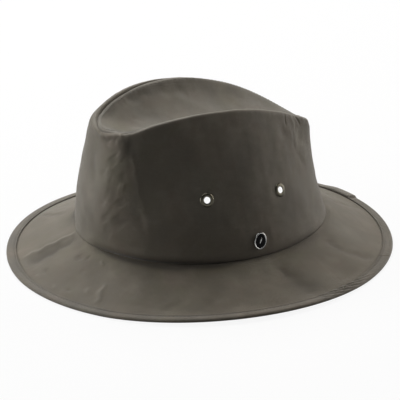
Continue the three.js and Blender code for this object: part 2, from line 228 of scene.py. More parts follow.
# Creases of the brim. Columns: angle and distance in from the edge at both ends, half width, depth
BRIM_CREASES = (
    (-17.2, 59, -20.2, 12, 2.2, 1.1),
    (-12.2, 57, -15.4, 14, 6.2, -1.5),
    (5, 50, 7, 47, 2.0, -0.5),
    (5, 14, 7, 12, 1.6, 0.45),
    (10.5, 17, 12.5, 16, 1.5, -0.4),
    (9, 38, 10, 33, 1.8, -0.35),
    (17, 24, 19, 20, 1.8, 0.4),
    (-5.5, 24, -3.5, 19, 2.0, -0.6),
    (-5.5, 15, -3, 13, 1.6, 0.5),
    (0.5, 48, 3.5, 43, 3.0, -0.7),
    (13.6, 51, 15.8, 47, 1.5, 0.6),
    (22.2, 33, 24.4, 11, 2.2, 0.7),
    (36, 42, 36, 18, 6.0, 0.35),
    (91.5, 48, 96.5, 10, 6.8, -0.85),
    (91, 46, 92.5, 36, 2.6, -0.3),
    (52, 26, 46, 12, 3.0, -0.3),
    (66, 40, 60, 14, 5.0, -0.4),
    (125, 48, 122, 40, 4.5, -0.5),
    (122, 40, 129, 10, 4.5, -0.5),
    (-48, 44, -55, 12, 3.0, -0.6),
    (-86, 46, -92, 12, 3.0, -0.7),
    (-128, 44, -134, 12, 3.0, -0.5),
    (168, 44, 171, 12, 3.0, -0.5),
)

# Soft hollows of the tip. Columns: angle and distance from the seam at both ends, half width, depth
TIP_CREASES = (
    (-52, 6, -70, 8, 4.5, -0.7),
    (-68, 8, -92, 13, 5.0, -0.8),
    (-40, 22, -62, 28, 6.0, -0.3),
    (-118, 10, -134, 16, 5.0, -0.4),
    (34, 12, 58, 16, 6.0, -0.4),
    (98, 10, 116, 14, 5.0, -0.4),
    (145, 1, 160, 1, 4.0, 1.2),
    (-56, 2, -94, 2, 6.0, 0.6),
)

# Places on the wall: angle, and distance up from the joint
EYELETS = {
    "eyelet_left_front": (66, 49),
    "eyelet_left_back": (104.5, 44),
    "eyelet_right_front": (-66, 49),
    "eyelet_right_back": (-104.5, 44),
}
BADGE = (87.4, 12)

# Eyelets
EYELET_RADIUS = 5.4
EYELET_BACK_RADIUS = 4.8
EYELET_BORE_RADIUS = 2.7
EYELET_BARREL_RADIUS = 3.4
EYELET_FLANGE = 0.8
EYELET_HOLE_RADIUS = 4.2
EYELET_WASHER = 0.3
EYELET_WASHER_WIDTH = 0.4
DRILL_LENGTH = 14.0

# Outline of an eyelet. Its rolled lip: distance from the bore to its crest, share of the flange's height that
# it reaches, height of its foot, half widths towards the bore and towards the rim. Its throat: distance from
# the bore, height, and how thin the metal is behind. Its barrel: height where it is full, and its fillet under
# the flange. The flange's edge: how far it is cut in and up
LIP_PLACE = 0.65
LIP_SHARE = 0.6
LIP_FOOT = 0.05
LIP_INNER_HALF_WIDTH = 0.85
LIP_OUTER_HALF_WIDTH = 1.45
THROAT_PLACE = 0.35
THROAT_HEIGHT = -0.4
THROAT_METAL = 0.1
BARREL_HEIGHT = -0.6
BARREL_FILLET = 0.3
FLANGE_EDGE = (0.15, 0.02)

# Wear and painted highlight of an eyelet: strength and reach at the lip's crest and at the flange's edge
EYELET_CREST_WEAR_AND_HIGHLIGHT = (0.3, 0.2)
EYELET_EDGE_WEAR_AND_HIGHLIGHT = (0.9, 0.22)

# Cloth squeezed by an eyelet, and how far from its middle cloth lies wholly flat and is free again
PRESSED_CLOTH = 1.2
PRESSED_WITHIN = 6.5
PRESSED_UNTIL = 12.0

# Badge and its rivet
BADGE_HALF_WIDTH = 5.2
BADGE_HALF_HEIGHT = 6.6
BADGE_THICKNESS = 1.6
BADGE_RIM = 0.9
BADGE_FLOOR = 0.6
BADGE_TURN = -31.0
LOZENGE_HALF_WIDTH = 0.65
LOZENGE_HALF_HEIGHT = 2.7
LOZENGE_HEIGHT = 0.5
LOZENGE_BEVEL = 0.12
LOZENGE_FLAT_SHARE = 0.7
RIVET_RADIUS = 1.0
RIVET_HEAD_RADIUS = 3.0
RIVET_HEAD = 0.8
RIVET_ROUNDING = 0.3
RIVET_TENON = 0.1

# Sides of turned metal, and where a turned face starts beside its axis: as a share of an oval's half width,
# and as the rivet's radius there
TURN_SIDES = 48
AXIS_SHARE = 0.02
AXIS_RADIUS = 0.05

# Outline of the badge's dish: under its rim as shares of its half width and heights above its seat, then how
# high the rim is rounded, the fillet at its foot as a share and a height, and a share on the floor between
DISH_BACK = ((AXIS_SHARE, 0.0), (0.5, 0.0), (0.94, 0.0), (0.985, 0.08), (1.0, 0.35))
DISH_RIM_ROUNDING = 0.55
DISH_FILLET = (0.02, 0.05)
DISH_FLOOR_SHARE = 0.4

# Enamel: its gap from the dish, how far below the rim its edge and its dome's foot lie, and the dome's height
# and shares of its half width
ENAMEL_GAP = 0.02
ENAMEL_EDGE_DROP = 0.35
ENAMEL_DOME_DROP = 0.3
ENAMEL_DOME = 0.22
ENAMEL_DOME_SHARES = np.linspace(0.97, 0.03, 10)

# Creases: how far one sways to each side, in its own half widths up to a limit, over which length, and the
# share of its depth that it loses towards its ends
CREASE_SWAY = 0.35
CREASE_SWAY_LIMIT = 2.4
CREASE_WAVE = 13.0
CREASE_END_FADE = 0.85

# Soft unevenness: waves in one sum, the spread of their sizes, and for each cloth the size, height and seed
NOISE_WAVES = 14
NOISE_SPREAD = (0.75, 1.4)
WALL_UNEVENNESS = ((46, 0.45, 3), (21, 0.14, 5), (10, 0.05, 8))
TIP_UNEVENNESS = ((48, 0.42, 21), (20, 0.06, 27), (11, 0.03, 23))
BRIM_UNEVENNESS = ((44, 0.5, 31),)
BRIM_CRUMPLING = ((21, 0.12, 37), (10, 0.06, 35))

# Distances over which the unevenness grows: up from the wall's foot, and in from the tip's seam
WALL_EASE = (0.0, 8.0)
TIP_EASE = (2.0, 14.0)

# Foot of the wall: the tuck over the collar, the roll above it, and the plain roll where the tuck is left out
TUCK_DEPTH = 1.9
TUCK_REACH = 2.2
FOOT_ROLL_HEIGHT = 0.8
FOOT_ROLL_PLACE = 5.0
FOOT_ROLL_HALF_WIDTH = 4.0
PLAIN_ROLL_HEIGHT = 0.9
PLAIN_ROLL_REACH = 3.5

# Seam at the back of the wall
BACK_SEAM_DEPTH = 0.7
BACK_SEAM_HALF_WIDTH = 0.7

# Tip's seam: half width of its groove, and the swelling of the folded edge beside it
GROOVE_HALF_WIDTH = 0.85
SWELLING_HEIGHT = 0.35
SWELLING_PLACE = 3.0
SWELLING_HALF_WIDTH = 1.7

# Puckers along the tip's seam: length, reach, where they start, mean strength, times that the strength swells
# round the hat and its phase at the front, how far their spacing wanders and over how many puckers
PUCKER_LENGTH = 6.2
PUCKER_REACH = 5.0
PUCKER_START = (0.3, 1.6)
PUCKER_MEAN = 0.6
PUCKER_SWELLS = 7
PUCKER_SWELL_PHASE = 1.0
PUCKER_WANDER = 1.2
PUCKER_WANDER_LENGTH = 3.0

# Puckers along the binding: length, mean strength, length of its swelling in puckers and its phase at the
# front, and on the brim's cloth their share, their slant and how far they reach in from the binding
BINDING_PUCKER_LENGTH = 5.5
BINDING_PUCKER_MEAN = 0.55
BINDING_PUCKER_SWELL = 13.0
BINDING_SWELL_PHASE = 2.0
BRIM_PUCKER_SHARE = 0.7
BRIM_PUCKER_SLANT = 4.0
BRIM_PUCKER_REACH = 6.0

# Distances beside the binding's inner edge over which the brim's puckers and its creases grow
PUCKER_EASE = (BINDING_WIDTH - 1.5, BINDING_WIDTH + 2.0)
BRIM_EASE = (BINDING_WIDTH - 1.5, 16.0)

# Shares of the brim's width, from the joint outwards, over which its creases grow
JOINT_EASE = (0.0, 0.08)

# Groove that the binding's stitches press into the brim
PRESSED_GROOVE_DEPTH = 0.5
PRESSED_GROOVE_PLACE = BINDING_WIDTH + 0.2
PRESSED_GROOVE_HALF_WIDTH = 1.0

# Binding's own relief: share and slant of its puckers, stitched groove, swelling, twist, overlap and join
BINDING_PUCKER_SHARE = 0.35
BINDING_PUCKER_SLANT = 1.7
STITCH_INSET = 1.7
STITCH_GROOVE_DEPTH = 0.2
STITCH_GROOVE_HALF_WIDTH = 0.55
BINDING_SWELLING = 0.15
BINDING_SWELLING_PLACE = 4.6
BINDING_SWELLING_HALF_WIDTH = 2.0
TWIST_LENGTH = 11.0
TWIST_SLANT = 3.6
TWIST_PLACE = 4.2
TWIST_HALF_WIDTH = 3.2
OVERLAP_SLANT = 0.12
OVERLAP_START = (-0.25, 0.1)
OVERLAP_END = (-16.0, -8.0)
JOIN_DEPTH = 0.4
JOIN_SLANT = 0.4
JOIN_HALF_WIDTH = 0.7

# Stitches through the tip, inside its seam
TIP_STITCH_INSET = 2.6

# Loop of thread: its sides, its rings along it in half lengths, and in thread radii how high it bows and how
# deep its line and its end points lie
THREAD_SIDES = 6
THREAD_SHARES = (-0.9, -0.45, 0.0, 0.45, 0.9)
THREAD_BOW = 0.9
THREAD_SINK = 0.25
THREAD_END_SINK = 0.5

# Dark lines that fade along their length. Columns: angle, half angle, share
FOOT_SHADE_FADES = ((-12, 20, 1.2), (88, 20, 0.55), (145, 28, 1.25))
BINDING_SHADE_FADES = ((5, 25, 1.0), (50, 33, 1.0), (90, 22, 1.0))
SEAM_SHADE_FADES = ((18, 12, 1.2),)

# Where the shadow on the brim along the crown's foot is narrow, and where the brim lies smoother
JOINT_REACH_FADES = ((12, 32, 1.0), (88, 28, 0.95))
BRIM_SMOOTH_FADES = ((140, 40, 0.7), (-40, 30, 0.5))

# Shadow on the brim along the crown's foot: strength, least reach and what is added to it
JOINT_SHADOW = 1.4
JOINT_REACH_LEAST = 2.8
JOINT_REACH_MORE = 3.7

# Marks of the wall: wear and painted highlight along its fold, painted light on the ledge past it, painted
# shade at its foot, and how much darker its inner faces are
FOLD_WEAR_AND_HIGHLIGHT_LEAST = 0.25
FOLD_WEAR_AND_HIGHLIGHT_MORE = 0.5
FOLD_WEAR_AND_HIGHLIGHT_HALF_WIDTH = 2.0
LEDGE_PAINTED_LIGHT = 0.6
LEDGE_START = (0.0, 2.5)
FOOT_PAINTED_SHADE = 0.5
FOOT_PAINTED_SHADE_REACH = 8.0
INNER_DARKENING = 0.25

# Wear and painted light by relief. Columns: paling for each millimetre that cloth stands out, as worn wax and
# painted highlight, the most of it, and painted shade for each millimetre that it is sunk
RELIEF_WEAR_AND_SHADE = {
    "wall": (0.6, 0.5, 0.526),
    "tip": (1.1, 0.8, 0.625),
    "brim": (0.8, 0.6, 0.5),
    "binding": (1.8, 0.9, 2.4),
}

# Share of the tip's seam and of its hollows that counts as relief for its wear, painted highlight and painted
# shade
TIP_SEAM_SHARE = 0.6
TIP_HOLLOW_SHARE = 0.5

# Wear and painted light on the binding's outer edge: half width, least and what is added to it, and the
# painted shade on its cut end
BINDING_EDGE_WEAR_AND_LIGHT_HALF_WIDTH = 1.2
BINDING_EDGE_WEAR_AND_LIGHT_LEAST = 0.1
BINDING_EDGE_WEAR_AND_LIGHT_MORE = 0.2
CUT_EDGE_PAINTED_SHADE = 0.9

# Patches of painted light and shade that also stand for handling marks in the wax, darker where the strength
# is
# positive and paler where it is negative: angle, height up the wall or distance from the edge, radius,
# strength
WALL_PATCHES = (
    (25, 33, 12, 0.32),
    (42, 29, 24, 0.24),
    (86, 69, 17, 0.6),
    (111, 32, 16, 0.25),
    (30, 92, 10, 0.3),
    (64, 50, 15, -0.6),
    (146, 54, 15, -0.35),
    (130, 80, 10, -0.2),
    (4, 43, 22, -0.45),
    (-16, 50, 20, -0.4),
    (-14, 80, 16, -0.3),
)
TIP_PATCHES = (
    (30, 1, 8, 0.45),
    (-103, 8, 14, -0.8),
    (-84, 8, 12, -0.7),
    (-50, 6, 14, -0.25),
)
BRIM_PATCHES = (
    (7, 18, 26, 0.22),
    (10, 4, 14, 0.15),
    (-8, 20, 12, 0.1),
    (48, 55, 12, 0.25),
    (91, 11, 12, 0.2),
    (88, 60, 12, -0.6),
    (139, 45, 16, -0.7),
    (134, 33, 14, -0.3),
)

# Finishes: length of one twist of the thread's plies, in metres, and roughness of the metals
PLY_LENGTH = 0.0007
BRASS_ROUGHNESS = 0.34
SILVER_ROUGHNESS = 0.24

# Floor: sides and rings, and the radii of its first ring, of its flat part and of its edge. Its height behind
# the flat part is the squared distance divided by the curve
FLOOR_SIDES = 96
FLOOR_RINGS = 29
FLOOR_NEAR = 400.0
FLOOR_FLAT = 3200.0
FLOOR_EDGE = 6000.0
FLOOR_CURVE = 4000.0

# Lights, in metres: places to the camera's right, towards the camera and up, and sizes
HAT_MIDDLE = (0.0, 0.0, 0.06)
OVERHEAD_PLACE = (-0.55, -0.85, 1.7)
OVERHEAD_SIZE = (1.8, 1.2)
LEFT_PLACE = (-1.6, 0.1, 0.18)
RIGHT_PLACE = (1.5, -0.9, 0.6)
SIDE_LIGHT_SIZE = (1.0, 1.2)

# Lamps inside the crown, in metres in the hat's own frame
FRONT_LAMP_PLACE = (0.0, 0.003, 0.038)
BACK_LAMP_PLACE = (0.0, 0.066, 0.034)
INNER_LAMP_RADIUS = 0.028

# Room: strength of its light from below the horizon, and the heights between which the light grows
BELOW_HORIZON = 0.06
HORIZON_BAND = (-0.05, 0.15)

# Camera: shift in widths of the picture, width of its sensor in millimetres, nearest and farthest it sees
CAMERA_SHIFT = (-0.00225, 0.1125)
SENSOR_WIDTH = 36.0
CAMERA_REACH = (0.05, 50.0)


# Small sums


def unit(vectors):
    """Vectors divided by their lengths."""
    return vectors / np.linalg.norm(vectors, axis=-1, keepdims=True)


def wrapped(degrees):
    """An angle brought between -180 and 180 degrees."""
    return np.mod(degrees + 180.0, 360.0) - 180.0


def smooth_step(value, low, high):
    """0 below low, 1 above high and a cubic ease between them."""
    s = np.clip((value - low) / (high - low), 0.0, 1.0)
    return s * s * (3.0 - 2.0 * s)


def bell(value, half_width):
    """The bell curve exp(-(value / half width) squared)."""
    return np.exp(-((value / half_width) ** 2))


def oval(half_width, half_length, angle):
    """Point of a level ellipse: sine of the angle to the left, minus its cosine to the front."""
    turn = np.radians(angle)
    return np.stack([half_width * np.sin(turn), -half_length * np.cos(turn), 0.0 * turn], -1)


def arc(centre, half_width, half_height, start, end, count):
    """Points of an ellipse's arc between two angles in degrees."""
    turn = np.radians(np.linspace(start, end, count))
    return [(centre[0] + half_width * math.cos(t), centre[1] + half_height * math.sin(t)) for t in turn]


def eased_shares(count, crowding):
    """Shares from 0 to 1 that lie closer together at both ends, by a sine of the share."""
    u = np.linspace(0.0, 1.0, count)
    return u - crowding * np.sin(2 * np.pi * u) / (2 * np.pi)


def column_angles(count):
    """Even angles round the hat."""
    return np.arange(count) * (360.0 / count)


def arc_lengths(points):
    """Distance round a closed line of points, with the whole length last."""
    steps = np.linalg.norm(np.roll(points, -1, 0) - points, axis=-1)
    return np.concatenate([[0.0], np.cumsum(steps)])


# Tables laid over a cloth


def dents(table, angle, distance):
    """Sum over a table's rows of depth times bell curves of the angle and of the distance from the row's."""
    total = 0.0
    for dent_angle, place, half_angle, half_reach, depth in table:
        across = wrapped(angle - dent_angle) / half_angle
        along = (distance - place) / half_reach
        total = total + depth * np.exp(-(across**2) - along**2)
    return total


def creases(table, angle, distance, degree):
    """Sum of creases: depth times a bell curve of the distance from the line between a row's two places,
    which sways by a sine along it, easing off towards both ends. One degree counts as the given length."""
    total = 0.0
    for angle_a, reach_a, angle_b, reach_b, half_width, depth in table:
        run = wrapped(angle_b - angle_a) * degree
        rise = reach_b - reach_a
        length = math.hypot(run, rise)
        x = wrapped(angle - angle_a) * degree
        y = distance - reach_a
        along = (x * run + y * rise) / length
        most = CREASE_SWAY * min(half_width, CREASE_SWAY_LIMIT)
        sway = most * np.sin(2 * np.pi * along / CREASE_WAVE + angle_a)
        beyond = np.maximum(np.maximum(-along, along - length), 0.0)
        gap = np.hypot((x * rise - y * run) / length - sway, beyond)
        from_middle = 2.0 * np.clip(along / length, 0.0, 1.0) - 1.0
        total = total + depth * bell(gap, half_width) * (1.0 - CREASE_END_FADE * from_middle**4)
    return total


def light_and_handling_patches(table, angle, distance, degree):
    """Darkening and paling by patches of painted shade and light, which also stand for handling, as two
    arrays:
    strength times a bell curve of the distance from each row's place."""
    total = 0.0 * distance
    for place_angle, reach, radius, strength in table:
        away = np.hypot(wrapped(angle - place_angle) * degree, distance - reach)
        total = total + strength * bell(away, radius)
    return np.maximum(total, 0.0), np.maximum(-total, 0.0)


def shade(angle, fades):
    """Strength from 0 to 1 of a dark line at each angle: 1 with the table's bell curves taken off."""
    total = 1.0 + 0.0 * angle
    for fade_angle, half_angle, share in fades:
        total = total - share * bell(wrapped(angle - fade_angle), half_angle)
    return np.clip(total, 0.0, 1.0)[:, None]


def wear_and_shade_marks(cloth, fine, shade_and_soil, light_and_paling):
    """Paling and darkening marks of a cloth. It is paler in step with how far it stands out, as worn wax and
    painted highlight, and where the patches pale it. It is darker with painted shade in step with how far it
    is sunk, and where patches and painted shadows darken it."""
    wear_and_highlight_per_mm, most, shade_per_mm = RELIEF_WEAR_AND_SHADE[cloth]
    wear_and_highlight = np.clip(fine * wear_and_highlight_per_mm, 0.0, most) + light_and_paling
    return wear_and_highlight, np.clip(shade_and_soil - fine * shade_per_mm, 0.0, 1.0)


def soft_noise(points, size, seed):
    """Soft unevenness about as large as size: the sum of plane waves in fixed random directions."""
    rng = np.random.default_rng(seed)
    direction = unit(rng.normal(size=(NOISE_WAVES, 3)))
    number = 2.0 * np.pi / (size * rng.uniform(*NOISE_SPREAD, NOISE_WAVES))
    phase = rng.uniform(0.0, 2.0 * np.pi, NOISE_WAVES)
    waves = np.sin(points @ (direction * number[:, None]).T + phase)
    return waves.sum(-1) / math.sqrt(NOISE_WAVES)


def unevenness(points, table):
    """Sum over a table's rows of height times soft noise of the row's size and seed."""
    return sum(height * soft_noise(points, size, seed) for size, height, seed in table)


# Plain shape of the crown


def section(name, angle, odd=False):
    """A column of SECTIONS at any angle: cubic Hermite curves through the rows, mirrored about 0 and 180
    degrees, each slope taken from the parabola through three rows. An odd column changes sign on the other
    half."""
    rows = SECTIONS[:, 0]
    values = SECTIONS[:, SECTION_COLUMNS.index(name)]
    sign = -1.0 if odd else 1.0
    x = np.concatenate([[-rows[1]], rows, [360.0 - rows[-2]]])
    y = np.concatenate([[sign * values[1]], values, [sign * values[-2]]])
    back = x[1:-1] - x[:-2]
    ahead = x[2:] - x[1:-1]
    slope = back**2 * y[2:] + (ahead**2 - back**2) * y[1:-1] - ahead**2 * y[:-2]
    slope = slope / (back * ahead * (back + ahead))
    turned = wrapped(angle)
    at = np.abs(turned)
    k = np.clip(np.searchsorted(rows, at, side="right") - 1, 0, len(rows) - 2)
    width = rows[k + 1] - rows[k]
    s = (at - rows[k]) / width
    start = (2 * s**3 - 3 * s**2 + 1) * values[k] + (s**3 - 2 * s**2 + s) * width * slope[k]
    end = (3 * s**2 - 2 * s**3) * values[k + 1] + (s**3 - s**2) * width * slope[k + 1]
    return np.where(odd & (turned < 0), -1.0, 1.0) * (start + end)


def quadratic(start, control, end, count):
    """Points of quadratic Bezier curves: (1-u)^2 start + 2u(1-u) control + u^2 end."""
    u = np.linspace(0.0, 1.0, count)[None, :, None]
    return (1 - u) ** 2 * start[:, None] + 2 * u * (1 - u) * control[:, None] + u**2 * end[:, None]


def section_paths(angle):
    """Sections of the crown: straight up the wall, a quadratic curve round the fold, then another down to
    the spine. Gives sampled points, the distance along at each, the wall's length, and the fold's and
    seam's place."""
    foot = oval(JOINT_HALF_WIDTH, JOINT_HALF_LENGTH, angle)
    ridge = (section("ridge_x", angle, True), section("ridge_y", angle), section("ridge_z", angle))
    fold = np.stack(ridge, -1)
    spine = np.stack([0.0 * angle, section("spine_y", angle), section("spine_z", angle)], -1)
    slope = spine + SLOPE_TURN * (fold - spine)
    slope[:, 2] = spine[:, 2] + SLOPE_RISE * (fold[:, 2] - spine[:, 2])
    bend = section("bend", angle)[:, None]
    wall_end = fold + bend * unit(foot - fold)
    slope_start = fold + bend * unit(slope - fold)
    around_fold = quadratic(wall_end, fold, slope_start, FOLD_SAMPLES)
    down = quadratic(slope_start, slope, spine, SLOPE_SAMPLES)
    points = np.concatenate([foot[:, None], around_fold, down[:, 1:]], 1)
    steps = np.linalg.norm(np.diff(points, axis=1), axis=-1)
    along = np.concatenate([np.zeros((len(angle), 1)), np.cumsum(steps, 1)], 1)
    wall = along[:, 1]
    fold_at = (wall + along[:, FOLD_SAMPLES]) / 2
    seam = fold_at + section("seam", angle) + section("seam_shift", angle, True)
    return points, along, wall, fold_at, seam


def crown_point(angle, distance):
    """Point of the crown's outer face at a distance along its section, moved level and square to the head
    oval by the wall's two bellies, cubic curves of its height, and by its dents."""
    points, along, wall, _, _ = section_paths(angle)
    reach = np.clip(distance, 0.0, along[:, -1:])
    k = (along[:, None, 1:-1] <= reach[:, :, None]).sum(-1)
    start = np.take_along_axis(along, k, 1)
    end = np.take_along_axis(along, k + 1, 1)
    share = ((reach - start) / (end - start))[..., None]
    lower = np.take_along_axis(points, k[..., None], 1)
    upper = np.take_along_axis(points, k[..., None] + 1, 1)
    point = lower + share * (upper - lower)
    u = np.minimum(reach / wall[:, None], 1.0)
    bulge = section("belly_foot", angle)[:, None] * 3 * u * (1 - u) ** 2
    bulge = bulge + section("belly_top", angle)[:, None] * 3 * u**2 * (1 - u)
    fade = np.minimum(np.minimum(u, 1 - u) / DENT_FADE, 1.0)
    bulge = bulge + dents(WALL_DENTS, angle[:, None], point[..., 2]) * fade
    outward = unit(oval(1 / JOINT_HALF_WIDTH, 1 / JOINT_HALF_LENGTH, angle))
    return point + outward[:, None] * bulge[..., None]


def wall_distance(angle, share):
    """Distance up the section at a share of the way from the joint to the seam."""
    return share * section_paths(angle)[4][:, None]


def tip_distance(angle, share):
    """Distance along the section at a share of the way from the seam to the spine."""
    _, along, _, _, seam = section_paths(angle)
    return seam[:, None] + share * (along[:, -1] - seam)[:, None]


def tip_away(angle, share):
    """Distance in from the tip's seam at a share of the way to the spine."""
    return tip_distance(angle, share) - section_paths(angle)[4][:, None]


def wall_point(angle, share):
    """Point of the wall's outer face at a share of the way from the joint to the seam."""
    return crown_point(angle, wall_distance(angle, share))


def tip_point(angle, share):
    """Point of the tip's outer face at a share of the way from the seam to the spine."""
    return crown_point(angle, tip_distance(angle, share))


def normals(surface, angle, share):
    """Outward directions of a surface: the cross product of its slopes round the hat and along the
    section."""
    around = surface(angle + ANGLE_STEP, share) - surface(angle - ANGLE_STEP, share)
    along = surface(angle, share + SHARE_STEP) - surface(angle, share - SHARE_STEP)
    return unit(np.cross(around, along))


def crown_to_hat(points):
    """Leans crown points towards the wearer's left and lifts them to the joint."""
    turn = math.radians(CROWN_LEAN)
    x = points[..., 0] * math.cos(turn) + points[..., 2] * math.sin(turn)
    z = points[..., 2] * math.cos(turn) - points[..., 0] * math.sin(turn)
    return np.stack([x, points[..., 1], z + JOINT_HEIGHT], -1)


# Meshes


def grid_faces(columns, rows, closed):
    """Quads between neighbouring columns round the hat and neighbouring rows, as four vertex numbers."""
    i, j = np.meshgrid(np.arange(columns), np.arange(rows if closed else rows - 1), indexing="ij")
    following = (i + 1) % columns
    above = (j + 1) % rows
    corners = [i * rows + j, following * rows + j, following * rows + above, i * rows + above]
    return np.stack(corners, -1).reshape(-1, 4)


def grid_grain(u, v, closed):
    """Thread coordinates at the four corners of each quad. u and v have one column more than the grid, so
    the pattern doesn't run back through the last column."""
    rows = u.shape[1]
    i, j = np.meshgrid(np.arange(u.shape[0] - 1), np.arange(rows if closed else rows - 1), indexing="ij")
    above = (j + 1) % rows
    corners = [(i, j), (i + 1, j), (i + 1, above), (i, above)]
    return np.stack([np.stack([u[c], v[c]], -1) for c in corners], -2).reshape(-1, 4, 2)


def once_more(values):
    """An array of columns with its first column repeated at the end."""
    return np.concatenate([values, values[:1]], 0)


def facing_out(points, faces):
    """Faces turned over if the volume that they enclose comes out negative."""
    a, b, c = (points[faces[:, k]] for k in (0, 1, 2))
    d = points[faces[:, 3]]
    volume = (a * np.cross(b, c)).sum() + (a * np.cross(c, d)).sum()
    return faces if volume > 0 else faces[:, ::-1]


def make_mesh(name, points, faces, material, grain=None, marks=None):
    """A smooth mesh object from points in millimetres. grain holds thread coordinates for each face's
    corner, marks named values for each point."""
    mesh = bpy.data.meshes.new(name)
    mesh.from_pydata((points * MM).tolist(), [], [list(face) for face in faces])
    mesh.polygons.foreach_set("use_smooth", np.ones(len(mesh.polygons), bool))
    if grain is not None:
        layer = mesh.uv_layers.new(name="grain")
        layer.data.foreach_set("uv", (grain * MM).astype(np.float32).ravel())
    for mark, values in (marks or {}).items():
        attribute = mesh.attributes.new(mark, "FLOAT", "POINT")
        attribute.data.foreach_set("value", np.asarray(values, np.float32).ravel())
    mesh.materials.append(material)
    mesh.update()
    piece = bpy.data.objects.new(name, mesh)
    bpy.context.scene.collection.objects.link(piece)
    return piece


def apply_modifiers(piece):
    """Puts the result of a piece's modifiers into its mesh."""
    graph = bpy.context.evaluated_depsgraph_get()
    mesh = bpy.data.meshes.new_from_object(piece.evaluated_get(graph))
    old = piece.data
    piece.modifiers.clear()
    piece.data = mesh
    mesh.name = piece.name
    bpy.data.meshes.remove(old)


def install(piece, slot, *nodes):
    """Lets a finished piece stand for its solids in the frame."""
    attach(piece, "root")
    if nodes:
        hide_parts(*nodes)
    return piece


# Tip's seam


def seam_arc(angle):
    """Distance round the tip's seam at each angle, and the seam's whole length."""
    dense = column_angles(LINE_SAMPLES)
    length = arc_lengths(crown_point(dense, section_paths(dense)[4][:, None])[:, 0])
    return np.interp(np.mod(angle, 360.0), np.append(dense, 360.0), length), length[-1]


def seam_puckers(angle, away):
    """Small ripples square to the seam: a sine of the distance round it, uneven in strength, fading away."""
    round_seam, whole = seam_arc(angle)
    count = round(whole / PUCKER_LENGTH)
    phase = 2 * np.pi * count * round_seam / whole
    swell = np.sin(2 * np.pi * PUCKER_SWELLS * round_seam / whole + PUCKER_SWELL_PHASE)
    strength = PUCKER_MEAN + (1.0 - PUCKER_MEAN) * swell
    ripple = np.sin(phase + PUCKER_WANDER * np.sin(phase / PUCKER_WANDER_LENGTH)) * strength
    return ripple[:, None] * np.exp(-away / PUCKER_REACH)


def seam_relief(angle, away, sewing):
    """Height of the cloth beside the tip's seam: the edge rolls down into the groove, the folded edge
    under it swells just beside it, and the thread draws it into puckers."""
    roll = -sewing.seam_depth / MM * bell(away, GROOVE_HALF_WIDTH) * shade(angle, SEAM_SHADE_FADES)
    swelling = SWELLING_HEIGHT * bell(away - SWELLING_PLACE, SWELLING_HALF_WIDTH)
    pucker = sewing.pucker_depth / MM * seam_puckers(angle, away) * smooth_step(away, *PUCKER_START)
    return roll, swelling + pucker


# Crown wall


def wall_frame(place):
    """Matrix of a place on the wall in millimetres: its origin on the outer face, +Z outwards, +Y up the
    wall."""
    angle = np.array([place[0]])
    share = place[1] / section_paths(angle)[4]
    origin = crown_to_hat(wall_point(angle, share))[0, 0]
    outward = normals(wall_point, angle, share)[0, 0]
    lean = Matrix.Rotation(math.radians(CROWN_LEAN), 3, "Y")
    outward = lean @ Vector(outward)
    upright = lean @ Vector((0, 0, 1))
    sideways = upright.cross(outward).normalized()
    upward = outward.cross(sideways)
    matrix = Matrix((sideways, upward, outward)).transposed().to_4x4()
    matrix.translation = Vector(origin)
    return matrix


def turned_points(profile, sides, half_width=1.0, half_height=1.0):
    """A profile of (radius, height) turned about Z, each column squeezed to an oval. Grid of sides by
    rows."""
    turn = np.linspace(0, 2 * np.pi, sides, endpoint=False)[:, None]
    radius, height = profile[None, :, 0], profile[None, :, 1]
    x = radius * half_width * np.cos(turn)
    y = radius * half_height * np.sin(turn)
    return np.stack([x, y, height + 0.0 * turn], -1)


def placed(points, matrix):
    """Points carried by a matrix."""
    return points @ np.array(matrix.to_3x3()).T + np.array(matrix.translation)


def drill_hole(piece, place, radius):
    """Cuts a round hole through the cloth along the outward direction of a place on the wall."""
    profile = np.array([(radius, -DRILL_LENGTH / 2), (radius, DRILL_LENGTH / 2)])
    ring = placed(turned_points(profile, TURN_SIDES), wall_frame(place)).reshape(-1, 3)
    low = np.arange(TURN_SIDES) * 2
    after = (low + 2) % (2 * TURN_SIDES)
    sides = [list(face) for face in np.stack([low, after, after + 1, low + 1], -1)]
    caps = [list(low[::-1]), list(low + 1)]
    mesh = bpy.data.meshes.new("drill")
    mesh.from_pydata((ring * MM).tolist(), [], sides + caps)
    drill = bpy.data.objects.new("drill", mesh)
    bpy.context.scene.collection.objects.link(drill)
    cut = piece.modifiers.new("hole", "BOOLEAN")
    cut.operation = "DIFFERENCE"
    cut.solver = "EXACT"
    cut.object = drill
    apply_modifiers(piece)
    bpy.data.objects.remove(drill)


def pressed(angle, distance, places):
    """How far the cloth is pressed flat round the metal at each place: 1 close to it, easing to 0."""
    total = 0.0
    for place_angle, up in places:
        away = np.hypot(wrapped(angle - place_angle) * WALL_DEGREE, distance - up)
        total = total + 1.0 - smooth_step(away, PRESSED_WITHIN, PRESSED_UNTIL)
    return total


